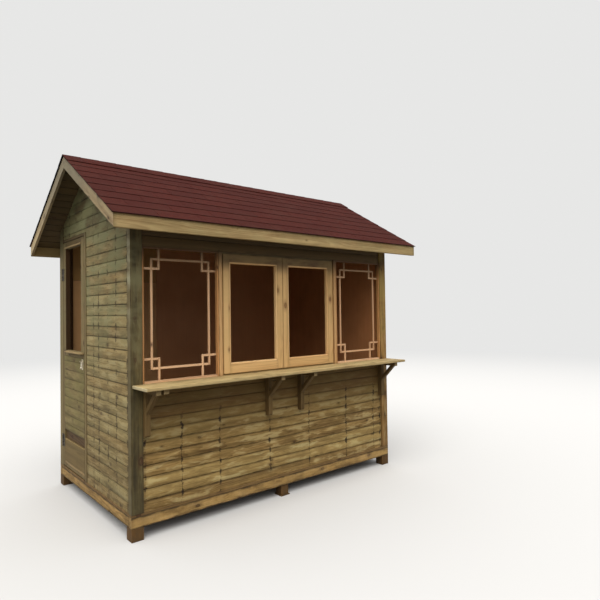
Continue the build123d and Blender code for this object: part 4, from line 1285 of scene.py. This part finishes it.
def lattice(name, low, high):
    """A thin frame with a ring of bars held off it by stubs."""
    front, back = low.y + BAR_SETBACK, low.y + BAR_SETBACK + BAR_THICKNESS
    inner_left, inner_right = low.x + SIDE_BAR, high.x - SIDE_BAR
    inner_low, inner_high = low.z + BOTTOM_RAIL, high.z - TOP_RAIL
    sticks = [timber("side", (x, low.y, low.z), (x + SIDE_BAR, high.y, high.z), Z, X, 0.001)
              for x in (low.x, inner_right)]
    for bottom, top in ((low.z, inner_low), (inner_high, high.z)):
        sticks.append(timber("rail", (inner_left, low.y + LAP, bottom), (inner_right, high.y - LAP, top), X, Z, 0.001))
    ring_left, ring_right = inner_left + RING_SIDE, inner_right - RING_SIDE
    ring_low, ring_high = inner_low + RING_FOOT, inner_high - RING_HEAD

    def bar(x0, x1, z0, z1):
        upright = z1 - z0 > x1 - x0
        lap = 0 if upright else LAP
        along, across = (Z, X) if upright else (X, Z)
        sticks.append(timber("bar", (x0, front + lap, z0), (x1, back - lap, z1), along, across, 0.0012))

    for x in (ring_left, ring_right - BAR_WIDTH):
        bar(x, x + BAR_WIDTH, ring_low, ring_high)
    for z in (ring_low, ring_high - BAR_WIDTH):
        bar(ring_left + 0.001, ring_right - 0.001, z, z + BAR_WIDTH)
    for x, x_ends in ((ring_left + CORNER_WIDTH - BAR_WIDTH, (inner_left, None)),
                      (ring_right - CORNER_WIDTH, (None, inner_right))):
        for z, z_ends in ((ring_low + CORNER_HEIGHT - BAR_WIDTH, (inner_low, None)),
                          (ring_high - CORNER_HEIGHT, (None, inner_high))):
            bar(x, x + BAR_WIDTH, z_ends[0] or z, z_ends[1] or z + BAR_WIDTH)
            bar(x_ends[0] or x + 0.001, x_ends[1] or x + BAR_WIDTH - 0.001, z, z + BAR_WIDTH)
    return join(name, sticks)


for side in ("left", "right"):
    low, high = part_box("lattice_" + side)
    bars = lattice("lattice_" + side + "_bars", low, high)
    fit(bars, lattice_pine, "hut", "window_pine", "lattice_" + side)
    refinish(bars, lattice_frame, lambda p, normal: p.x < low.x + SIDE_BAR + 0.0005 or p.x > high.x - SIDE_BAR - 0.0005
             or p.z > high.z - TOP_RAIL - 0.0005)

# %% [markdown]
# A sash is four members about an open window. Its outer edge is rebated, so that its face is smaller than its back and
# a shadow line runs round it. The stiles run through from top to bottom and the rails fit between them. A pale bead is
# pinned round the inner edge.
# %% Sashes
REBATE, REBATE_DEPTH = 0.013, 0.015
BEAD, BEAD_SINK = 0.012, 0.003
PANE_NEAR, PANE_FAR, PANE_LOW, PANE_HIGH = 0.072, 0.534, 1.187, 1.989


def rebated(low, high, face, inner, along, across):
    """A member whose raised face leaves a step along the outer edges."""
    member = block("member", (low[0], face + REBATE_DEPTH, low[2]), high)
    for axis, normal in ((0, X), (2, Z)):
        for at in (inner[0][axis], inner[1][axis]):
            if low[axis] + 1e-5 < at < high[axis] - 1e-5:
                cut(member, normal * at, normal)
    raise_faces(member, lambda p, normal: normal.y < -0.9 and inner[0][0] < p.x < inner[1][0]
                and inner[0][2] < p.z < inner[1][2], (0, -REBATE_DEPTH, 0))
    return write_grain(ease(member, 0.001), along, across)


def beads(x_range, z_range, front, back):
    """Four mitred beads inside an opening, with a rounded front edge."""
    made = []
    for axis, at, inward in ((0, x_range[0], 1), (0, x_range[1], -1), (2, z_range[0], 1), (2, z_range[1], -1)):
        low, high = [x_range[0], front, z_range[0]], [x_range[1], back, z_range[1]]
        low[axis], high[axis] = sorted((at, at + inward * BEAD))
        bead = block("bead", low, high)
        bevel_edges(bead, lambda p, run: abs(run[2 - axis]) > 0.1 and p.y < front + 0.001
                    and abs(p[axis] - at) > BEAD / 2, BEAD / 2, 3)
        for x, z in [(at, z) for z in z_range] if axis == 0 else [(x, at) for x in x_range]:
            sx, sz = (1 if x == x_range[0] else -1), (1 if z == z_range[0] else -1)
            mitre = Vector((sx, 0, -sz)) if axis == 0 else Vector((-sx, 0, sz))
            cut(bead, (x, 0, z), mitre, drop=True)
        made.append(write_grain(bead, Z if axis == 0 else X, X if axis == 0 else Z))
    return made


for side in ("left", "right"):
    low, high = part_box("sash_" + side)
    left, right = (low.x + REBATE, high.x + 1e-4) if side == "left" else (low.x - 1e-4, high.x - REBATE)
    inner = (Vector((left, 0, low.z + REBATE)), Vector((right, 0, high.z - REBATE)))
    pane = (-PANE_FAR, -PANE_NEAR) if side == "left" else (PANE_NEAR, PANE_FAR)
    wide = (pane[0] - BEAD, pane[1] + BEAD)
    tall = (PANE_LOW - BEAD, PANE_HIGH + BEAD)
    members = [rebated((x0, 0, low.z), (x1, high.y, high.z), low.y, inner, Z, X)
               for x0, x1 in ((low.x, wide[0]), (wide[1], high.x))]
    members += [rebated((wide[0], 0, z0), (wide[1], high.y, z1), low.y + 0.0004, inner, X, Z)
                for z0, z1 in ((low.z, tall[0]), (tall[1], high.z))]
    sash = fit(join("sash_" + side + "_frame", members), window_pine, "hut", "window_pine", "sash_" + side)
    refinish(sash, sash_step, lambda p, normal: normal.y < -0.9 and p.y > low.y + REBATE_DEPTH - 0.002)
    trim = beads(wide, tall, low.y + BEAD_SINK, high.y - 0.002)
    fit(join("sash_" + side + "_beads", trim), bead_pine, "hut", "window_pine", smooth=35)

# %% [markdown]
# ## Door
# The door hangs on the rear post of the left gable and rides on its own body, so every piece of it is tied to that
# body. Two stiles run through, with three rails between them and a sunk band above the kick board. The outer face is
# rebated for the boards, which hide the front stile below the window. A sloped sill sheds rain under the window.
# %% Door frame
low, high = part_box("door_jamb")
STOP, STOP_SETBACK = 0.012, 0.045
stop_x = low.x + STOP_SETBACK
jamb = block("jamb", low, (high.x, high.y - STOP, high.z))
cut(jamb, (stop_x, 0, 0), X)
raise_faces(jamb, lambda p, normal: normal.y > 0.9 and p.x > stop_x, (0, STOP, 0))
fit(write_grain(ease(jamb), Z, Y), door_timber, "hut", "frame_timber", "door_jamb")

low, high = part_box("door_head")
head = block("head", (low.x, low.y, low.z + STOP), high)
cut(head, (stop_x, 0, 0), X)
cut(head, (0, low.y + STOP, 0), Y)
raise_faces(head, lambda p, normal: normal.z < -0.9 and p.x > stop_x and p.y > low.y + STOP, (0, 0, -STOP))
fit(write_grain(ease(head), Y, X), shaded_door_head_timber, "hut", "frame_timber", "door_head")

# %% Door leaf
STILE, DOOR_TOP_RAIL, KICK_RAIL, KICK_STRIP = 0.080, 0.060, 0.048, 0.022
LOCK_LOW, WINDOW_LOW = 1.216, 1.268
CROSS_LOW, CROSS_HIGH, CROSS_SINK = 0.452, 0.537, 0.015
DRIP_OUT, DRIP_LOW, DRIP_HIGH = 0.003, 0.002, 0.018
HINGE_EDGE, BOARD_DEPTH = 0.036, 0.018
SILL_LENGTH, SILL_HEIGHT, SILL_FALL = 0.452, 0.016, 0.006
FIRST_JOINT, SUNK = 1.171, 0.0004
leaf_low, leaf_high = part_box("door_leaf")
leaf_face, leaf_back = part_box("door_head")[0].x, leaf_high.x
bay_front, bay_rear = leaf_low.y + STILE, leaf_high.y - STILE
board_rear = leaf_high.y - HINGE_EDGE
kick_low = leaf_low.z + KICK_RAIL
window_high = leaf_high.z - DOOR_TOP_RAIL


def rebated_stile(front, rear):
    """A stile with its face cut back where the boards lie."""
    stile = block("stile", (leaf_face + BOARD_DEPTH, front, leaf_low.z), (leaf_back, rear, leaf_high.z))
    for z in (kick_low, LOCK_LOW):
        cut(stile, (0, 0, z), Z)
    if front < board_rear < rear:
        cut(stile, (0, board_rear, 0), Y)
    raise_faces(stile, lambda p, normal: normal.x < -0.9 and (p.z < kick_low or p.z > LOCK_LOW or p.y > board_rear),
                (-BOARD_DEPTH, 0, 0))
    return write_grain(ease(stile, 0.002), Z, Y)


members = [rebated_stile(leaf_low.y, bay_front), rebated_stile(bay_rear, leaf_high.y)]
for bottom, top in ((leaf_low.z, kick_low - KICK_STRIP), (window_high, leaf_high.z), (LOCK_LOW, WINDOW_LOW)):
    members.append(timber("rail", (leaf_face + SUNK, bay_front, bottom), (leaf_back - SUNK, bay_rear, top),
                          Y, Z, 0.002))
leaf_frame = fit(join("door_leaf_frame", members), door_timber, "door", "door_timber", "door_leaf")
# The top rail's outer face gets the darker head finish: painted shade under the gable's overhang.
refinish(leaf_frame, shaded_door_head_timber, lambda p, normal: p.z > window_high + 0.001 and normal.x < -0.3)
# The rear stile's return face in the window gets the near-black reveal finish: painted shade.
refinish(leaf_frame, shaded_door_reveal,
         lambda p, normal: normal.y < -0.9 and abs(p.y - bay_rear) < 0.002 and p.z > WINDOW_LOW)

band = timber("door_cross_band", (leaf_face + CROSS_SINK, leaf_low.y + 0.001, CROSS_LOW - 0.001),
              (leaf_back - SUNK, board_rear - 0.001, CROSS_HIGH + 0.001), Y, Z)
fit(band, dark_band, "door", "door_timber")

strips = [timber("strip", (leaf_face, leaf_low.y + 0.001, kick_low - KICK_STRIP),
                 (leaf_back - 0.002, board_rear, kick_low), Y, Z),
          timber("strip", (leaf_face - DRIP_OUT, bay_front, window_high + DRIP_LOW),
                 (leaf_face + 0.001, board_rear, window_high + DRIP_HIGH), Y, Z)]
sill = block("sill", (leaf_low.x, leaf_low.y, WINDOW_LOW - SILL_HEIGHT),
             (leaf_face, leaf_low.y + SILL_LENGTH, WINDOW_LOW))
move(sill, lambda p: p.x < leaf_low.x + 0.001 and p.z > WINDOW_LOW - 0.001, (0, 0, -SILL_FALL))
strips.append(write_grain(ease(sill, 0.0025, 3), Y, Z))
fit(join("door_strips", strips), door_strip, "door", "door_timber", smooth=35)

kick = timber("door_kick_board", (leaf_face, leaf_low.y, kick_low),
              (leaf_face + BOARD_DEPTH, board_rear - 0.001, CROSS_LOW), Y, Z, 0.003)
fit(kick, kick_board, "door", "door_boards")

boards = []
joints = [CROSS_HIGH] + [FIRST_JOINT - step * BOARD_COVER for step in range(7, -1, -1)] + [LOCK_LOW]
for bottom, top in zip(joints, joints[1:]):
    board = block("panel_board", (leaf_face, leaf_low.y, bottom + 0.0006),
                  (leaf_face + BOARD_DEPTH, board_rear - 0.001, top - 0.0006))
    bevel_edges(board, lambda p, run: p.x < leaf_face + 0.001 and abs(run.y) > 0.1, 0.0036, 2, 0.6)
    boards.append(write_grain(board, Y, Z))
fit(join("door_panel_boards", boards), door_boards, "door", "door_boards", "door_panel", smooth=30)

# %% [markdown]
# The handle is a bow of round steel on a thin plate, on both faces of the front stile. The bow is one rod: a disc drawn
# straight out of the plate, spun round its first corner, drawn along, and spun round the second, so both bends are
# true arcs.
# %% Handle
PLATE_WIDTH, PLATE_HEIGHT, PLATE_THICK, PLATE_EDGE = 0.038, 0.090, 0.003, 0.024
GRIP_RADIUS, GRIP_LENGTH, GRIP_STANDOFF, GRIP_BEND, HANDLE_HEIGHT = 0.007, 0.062, 0.036, 0.014, 1.165
COLLAR_RADIUS, SCREW_RADIUS, SCREW_OFFSET = 0.0105, 0.0042, 0.015
plate_middle = leaf_low.y + PLATE_EDGE + PLATE_WIDTH / 2


def disc(name, radius, place, vertices):
    """A flat round face that looks to -X, selected in edit mode, the start of a turned part."""
    bpy.ops.object.select_all(action="DESELECT")
    bpy.ops.mesh.primitive_circle_add(vertices=vertices, radius=radius, fill_type="NGON")
    piece = settle(named(name), place, (0, -90, 0))
    pick(piece, "faces", lambda p, normal: True)
    return piece


def turned(name, radius, place, vertices, rise, *steps):
    """A round head drawn out of a face, with steps let into it, each of a width and a depth."""
    head = disc(name, radius, place, vertices)
    draw_out((-rise, 0, 0))
    for width, depth in steps:
        bpy.ops.mesh.inset(thickness=width, depth=depth)
    done()
    return head


def bow_handle():
    """One side of the handle, in front of a face at x = 0 that looks to -X, about y = 0, z = 0."""
    plate = block("plate", (-PLATE_THICK, -PLATE_WIDTH / 2, -PLATE_HEIGHT / 2), (0, PLATE_WIDTH / 2, PLATE_HEIGHT / 2))
    bevel_edges(plate, lambda p, run: abs(run.x) > 0.001, PLATE_WIDTH / 4, 6)
    ease(plate, 0.0009, 2, 60)
    straight = GRIP_STANDOFF - GRIP_BEND - PLATE_THICK * 0.5
    corner = Vector((GRIP_BEND - GRIP_STANDOFF, 0, GRIP_BEND - GRIP_LENGTH / 2))
    rod = disc("rod", GRIP_RADIUS, (-PLATE_THICK * 0.5, 0, -GRIP_LENGTH / 2), 16)
    draw_out((-straight, 0, 0))
    bpy.ops.mesh.spin(steps=6, angle=math.radians(90), center=corner, axis=Y)
    draw_out((0, 0, GRIP_LENGTH - 2 * GRIP_BEND))
    corner.z = -corner.z
    bpy.ops.mesh.spin(steps=6, angle=math.radians(90), center=corner, axis=Y)
    draw_out((straight, 0, 0))
    bpy.ops.mesh.select_all(action="SELECT")
    bpy.ops.mesh.normals_make_consistent(inside=False)
    done()
    pieces = [plate, rod]
    for z in (-GRIP_LENGTH / 2, GRIP_LENGTH / 2):
        pieces.append(turned("collar", COLLAR_RADIUS, (-PLATE_THICK, 0, z), 20, 0.002, (0.002, 0.0010)))
    for z in (-SCREW_OFFSET, SCREW_OFFSET):
        pieces.append(turned("screw", SCREW_RADIUS, (-PLATE_THICK, 0, z), 12, 0.0012,
                             (0.0012, 0.0006), (0.0012, -0.0012)))
    return join("handle_side", pieces)


outer = bow_handle()
inner = settle(copy_piece(outer, "inner"), turn=(0, 0, 180))
settle(outer, (leaf_face, plate_middle, HANDLE_HEIGHT))
settle(inner, (leaf_back, plate_middle, HANDLE_HEIGHT))
fit(join("bow_handles", [outer, inner]), handle_steel, "door", "handle_steel", "door_handle", smooth=40)

# %% [markdown]
# The hinges keep their CAD shape, plates and knuckles, because it is already right. They only want a finish and the
# countersunk screws that hold them, three to a leaf.
# %% Hinges
HINGE_LEVELS, PIN_GAP, LEAF_THICK = (0.430, 1.965), 0.003, 0.0025
SCREW_STEP, SCREW_FAR, SCREW_NEAR, SCREW_HEAD = 0.038, 0.028, 0.019, 0.004
for name in ("hinge_fixed", "hinge_moving"):
    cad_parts[name].data.materials.clear()
    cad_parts[name].data.materials.append(hinge_steel)

for body, side, name in (("hut", 1, "hinge_screws_fixed"), ("door", -1, "hinge_screws_moving")):
    screws = []
    for level_z in HINGE_LEVELS:
        for step, aside in ((-SCREW_STEP, SCREW_FAR), (0, SCREW_NEAR), (SCREW_STEP, SCREW_FAR)):
            place = (leaf_face - LEAF_THICK, leaf_high.y + PIN_GAP + side * aside, level_z + step)
            screws.append(turned("screw", SCREW_HEAD, place, 12, 0.0006, (0.0016, 0), (0.0008, -0.0008)))
    fit(join(name, screws), hinge_steel, body, "hinge_steel")

# %% [markdown]
# ## Roof
# Under the shingles lie boards that run along the ridge, on four pairs of rafters and a ridge board. Everything on a
# slope is modelled flat, with its run of grain, then turned by the pitch of the roof and sawn plumb at its ends.
# %% Slope helper
def on_slope(piece, side):
    """Turn a flat piece up the front (-1) or rear (1) slope: y runs down from the ridge, z away from the boards."""
    return settle(piece, apex, (-side * PITCH_DEGREES, 0, 0))


def plumb(piece, y, side):
    """Saw a piece off plumb at a distance from the ridge, on one side."""
    return cut(piece, (0, side * y, 0), (0, side, 0), drop=True)


def trim_ends(piece, low, high):
    """Saw off what reaches past the ends of a run along the ridge."""
    reach = [corner[0] for corner in piece.bound_box]
    if min(reach) < low:
        cut(piece, (low, 0, 0), -X, drop=True)
    if max(reach) > high:
        cut(piece, (high, 0, 0), X, drop=True)


print("slopes of", PITCH_DEGREES, "degrees from a ridge", round(apex.z, 3), "m up")

# %% Ridge board and rafters
ridge_low, ridge_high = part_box("ridge_board")
fit(timber("ridge_timber", ridge_low, ridge_high, X, Z), roof_timber, "hut", "roof_timber", "ridge_board")

RAFTER_WIDTH, RAFTER_DEPTH, RAFTER_PAIRS = 0.045, 0.070, 4
low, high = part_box("rafters")
rafter_step = (high.x - low.x - RAFTER_WIDTH) / (RAFTER_PAIRS - 1)
rafters = []
for number in range(RAFTER_PAIRS):
    x = low.x + number * rafter_step
    for side in (-1, 1):
        first, last = sorted((0, side * (high.y / math.cos(pitch) + 0.1)))
        rafter = timber("rafter", (x, first, -ROOF_BOARD - RAFTER_DEPTH), (x + RAFTER_WIDTH, last, -ROOF_BOARD), Y, Z)
        plumb(on_slope(rafter, side), high.y, side)
        rafters.append(cut(rafter, (0, side * ridge_high.y, 0), (0, -side, 0), drop=True))
fit(join("rafter_timbers", rafters), roof_timber, "hut", "roof_timber", "rafters")

# %% [markdown]
# The roof boards show from below at the eaves and under the gable ends, so each has a V along its lower edges.
# %% Roof boards
ROOF_COVER, ROOF_GAP = 0.0865, 0.0008
deck_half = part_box("front_roof_boards")[1].x
eave_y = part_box("rear_roof_boards")[1].y
for side, name in ((-1, "front"), (1, "rear")):
    model = block("roof_board", (-deck_half, ROOF_GAP / 2, -ROOF_BOARD), (deck_half, ROOF_COVER - ROOF_GAP / 2, 0))
    bevel_edges(model, lambda p, run: abs(run.x) > 1 and p.z < -ROOF_BOARD + 0.001, 0.004)
    boards = []
    for number in range(math.ceil(eave_y / math.cos(pitch) / ROOF_COVER) + 1):
        board = copy_piece(model, "roof_board")
        settle(board, (0, number * ROOF_COVER if side > 0 else -(number + 1) * ROOF_COVER, 0))
        write_grain(board, X, Y)
        on_slope(board, side)
        if (number + 1) * ROOF_COVER * math.cos(pitch) > eave_y - 0.02:
            plumb(board, eave_y, side)
        if number == 0:
            plumb(board, 0, -side)
        keep(boards, board)
    bpy.data.objects.remove(model)
    fit(join(name + "_roof_board_run", boards), roof_timber, "hut", "roof_timber", name + "_roof_boards")

# %% [markdown]
# Fascias close the eaves and bargeboards close the gable ends. They meet in a mitre at each corner of the roof, and two
# bargeboards meet plumb at the ridge.
# %% Fascias and bargeboards
BARGE_DEPTH = 0.098
for side, name in ((-1, "front"), (1, "rear")):
    low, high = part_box(name + "_fascia")
    fascia = timber(name + "_fascia_board", low, high, X, Z, 0.0025)
    for end, x in ((-1, low.x), (1, high.x)):
        cut(fascia, (x, low.y if side < 0 else high.y, 0), (end, -side, 0), drop=True)
    cut(fascia, apex, (0, side * math.sin(pitch), math.cos(pitch)), drop=True)
    fit(fascia, edge_boards, "hut", "edge_boards", name + "_fascia")
    for end, end_name in ((-1, "left"), (1, "right")):
        node_name = "bargeboard_" + end_name + "_" + name
        low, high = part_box(node_name)
        reach = max(abs(low.y), abs(high.y))
        first, last = sorted((-side * 0.06, side * (reach / math.cos(pitch) + 0.05)))
        board = timber(node_name + "_board", (low.x, first, -BARGE_DEPTH * math.cos(pitch)), (high.x, last, 0),
                       Y, Z, 0.0025)
        on_slope(board, side)
        plumb(board, 0, -side)
        plumb(board, reach, side)
        cut(board, (low.x if end < 0 else high.x, side * reach, 0), (-end, side, 0), drop=True)
        fit(board, barge_boards, "hut", "edge_boards", node_name)

# %% [markdown]
# ## Shingles
# A shingle is a thin tab of felt. Its upper part is nailed down and its lower part laps over the course below, so each
# course ends in a step that throws a thin shadow. One tab is modelled, with a few points along its lower edge, and
# every copy is turned and lifted a little, because felt never lies quite flat.
# %% Shingle courses
TAB_WIDTH, TAB_GAP, EXPOSURE, TAB_LENGTH, TAB_THICK = 0.333, 0.0025, 0.1435, 0.182, 0.003
TAB_POINTS = [(share - 0.5) * TAB_WIDTH for share in (0.12, 0.37, 0.63, 0.88)]
TAB_LIFT, TAB_SLOPE, EAVE_ALLOWANCE = 0.0044, 0.0040, 0.0046
STARTER_LENGTH, STARTER_LOW, STARTER_HIGH = 0.11, 0.0002, 0.0042
shingle_low, shingle_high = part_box("front_shingles")
drip = (-shingle_low.y - EAVE_ALLOWANCE) / math.cos(pitch)
tilt = math.degrees(math.asin(TAB_SLOPE / TAB_LENGTH))
tab_model = block("tab", (-(TAB_WIDTH - TAB_GAP) / 2, 0, 0), ((TAB_WIDTH - TAB_GAP) / 2, TAB_LENGTH, TAB_THICK))
for at in TAB_POINTS:
    cut(tab_model, (at, 0, 0), X)
bevel_edges(tab_model, lambda p, run: p.y < 0.001 and p.z > TAB_THICK - 0.0005, 0.0009)


def tab(course, x, side, shear):
    """One tab of a course, lifted at its lower edge."""
    made = copy_piece(tab_model, "tab")
    for at in TAB_POINTS:
        move(made, lambda p: abs(p.x - at) < 1e-4 and p.y < 0.01, (0, 0, chance.uniform(-0.0005, 0.0006)))
    write_grain(made, X, Y)
    settle(made, (x, 0, TAB_LIFT), (-tilt, 0, shear))
    settle(made, (0, course * EXPOSURE - drip, 0))
    if side > 0:
        settle(made, turn=(0, 0, 180))
    return on_slope(made, side)


for side, name in ((-1, "front"), (1, "rear")):
    tabs = []
    last_course = math.ceil(drip / EXPOSURE) - 1
    for course in range(last_course + 1):
        x = shingle_low.x - (course % 2) * TAB_WIDTH / 2 + TAB_WIDTH / 2
        while x - TAB_WIDTH / 2 < shingle_high.x:
            made = tab(course, x, side, chance.uniform(-0.12, 0.12))
            trim_ends(made, shingle_low.x, shingle_high.x)
            if course >= last_course - 1 and made.data.vertices:
                plumb(made, 0.004, -side)
            keep(tabs, made)
            x += TAB_WIDTH
    starter = block("starter", (shingle_low.x, -drip if side < 0 else drip - STARTER_LENGTH, STARTER_LOW),
                    (shingle_high.x, -drip + STARTER_LENGTH if side < 0 else drip, STARTER_HIGH))
    write_grain(starter, X, Y)
    tabs.append(on_slope(starter, side))
    slope = fit(join(name + "_shingle_tabs", tabs), roof_shingle, "hut", "roof_shingle", name + "_shingles")
    refinish(slope, felt_edge,
             lambda p, normal: abs(p.x) > deck_half - 0.001 and (abs(normal.x) > 0.7 or normal.z < -0.3))
bpy.data.objects.remove(tab_model)

# %% [markdown]
# The ridge is covered with short pieces folded over it, each lapping the one before, so the line of the ridge has a
# small step every hand's width.
# %% Ridge caps
CAP_STEP, CAP_LENGTH, CAP_THICK, CAP_LAP, CAP_BUILD = 0.1435, 0.165, 0.0028, 0.0024, 0.005
cap_low, cap_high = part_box("ridge_cap")
cap_drop = cap_high.y * math.tan(pitch)
cap_model = block("cap", (0, -cap_high.y, 0), (CAP_LENGTH, cap_high.y, CAP_THICK))
cut(cap_model, (0, 0, 0), Y)
move(cap_model, lambda p: abs(p.y) > 0.01, (0, 0, -cap_drop))
bevel_edges(cap_model, lambda p, run: p.x > CAP_LENGTH - 0.001 and p.z > -cap_drop + CAP_THICK - 0.0005, 0.0008)
move(cap_model, lambda p: p.x > CAP_LENGTH / 2, (0, 0, CAP_LAP))
cap_base = cap_high.z - CAP_BUILD / math.cos(pitch)
caps = []
x = cap_low.x - 0.02
while x < cap_high.x:
    cap = copy_piece(cap_model, "cap")
    write_grain(cap, Y, X)
    settle(cap, (x, 0, cap_base + 0.0002 + chance.uniform(0, 0.0003)), (0, 0, chance.uniform(-0.3, 0.3)))
    trim_ends(cap, cap_low.x, cap_high.x)
    caps.append(cap)
    x += CAP_STEP
bpy.data.objects.remove(cap_model)
fit(join("ridge_cap_tabs", caps), roof_shingle, "hut", "roof_shingle", "ridge_cap")

# %% [markdown]
# ## Stage and light
# The hut stands on a plain pale floor under a soft sky, brighter overhead than at the horizon, with one broad soft lamp
# from the front left for form. The pale background is the colour of the floor and the sky to the camera only: what
# bounces onto the wood is darker, because a bright floor would light the eaves from below.
# %% Stage
BACKDROP = (0.80, 0.80, 0.792, 1)
FLOOR_RADIUS, FADE_FROM, FADE_TO = 60, 5.0, 16.0
LAMP_STRENGTH, LAMP_SPREAD, LAMP_FROM = 2.3, 56, (-0.46, -0.54, 1.05)


def seen_share(tree):
    """1 for a ray that shows what it meets, straight or by way of a mirror or glass, and 0 for one that lights."""
    rays = node(tree, "LightPath").outputs
    passed_on = maths(tree, "MAXIMUM", rays["Is Glossy Ray"], rays["Is Transmission Ray"])
    return maths(tree, "MAXIMUM", rays["Is Camera Ray"], passed_on)


def stage_floor():
    """A pale floor that fades into the backdrop."""
    bpy.ops.object.select_all(action="DESELECT")
    bpy.ops.mesh.primitive_circle_add(vertices=96, radius=FLOOR_RADIUS, fill_type="NGON")
    floor = named("floor")
    material, tree, place = blank_finish("floor_paint")
    seen = seen_share(tree)
    far = ramp(tree, vector_maths(tree, "LENGTH", place), FADE_FROM, FADE_TO)
    colour = mix(tree, seen, (0.15, 0.135, 0.12, 1), (0.62, 0.61, 0.59, 1))
    near = node(tree, "BsdfDiffuse", {0: colour}).outputs[0]
    glow = node(tree, "Emission", {0: BACKDROP}).outputs[0]
    both = node(tree, "MixShader", {0: times(tree, far, seen), 1: near, 2: glow})
    node(tree, "OutputMaterial", {"Surface": both.outputs[0]})
    floor.data.materials.append(material)


def sky():
    """A soft grey sky."""
    world = bpy.data.worlds.new("soft_sky")
    scene.world = world
    world.use_nodes = True
    tree = world.node_tree
    tree.nodes.clear()
    way = ramp(tree, part(tree, node(tree, "TexCoord").outputs["Generated"], 2), 0.02, 0.70, 0.16, 1.25, smooth=False)
    lit = node(tree, "Background", {0: (0.97, 0.98, 1.0, 1), 1: way}).outputs[0]
    pale = node(tree, "Background", {0: BACKDROP, 1: 1.0}).outputs[0]
    both = node(tree, "MixShader", {0: seen_share(tree), 1: lit, 2: pale})
    node(tree, "OutputWorld", {"Surface": both.outputs[0]})


stage_floor()
sky()
bpy.ops.object.light_add(type="SUN", location=(-4, -6, 7))
lamp = bpy.context.object
lamp.data.energy = LAMP_STRENGTH
lamp.data.angle = math.radians(LAMP_SPREAD)
lamp.data.color = (1.0, 0.98, 0.95)
lamp.rotation_euler = Vector(LAMP_FROM).to_track_quat("Z", "Y").to_euler()
scene.view_settings.view_transform = "Standard"
print("floor, sky and lamp set")
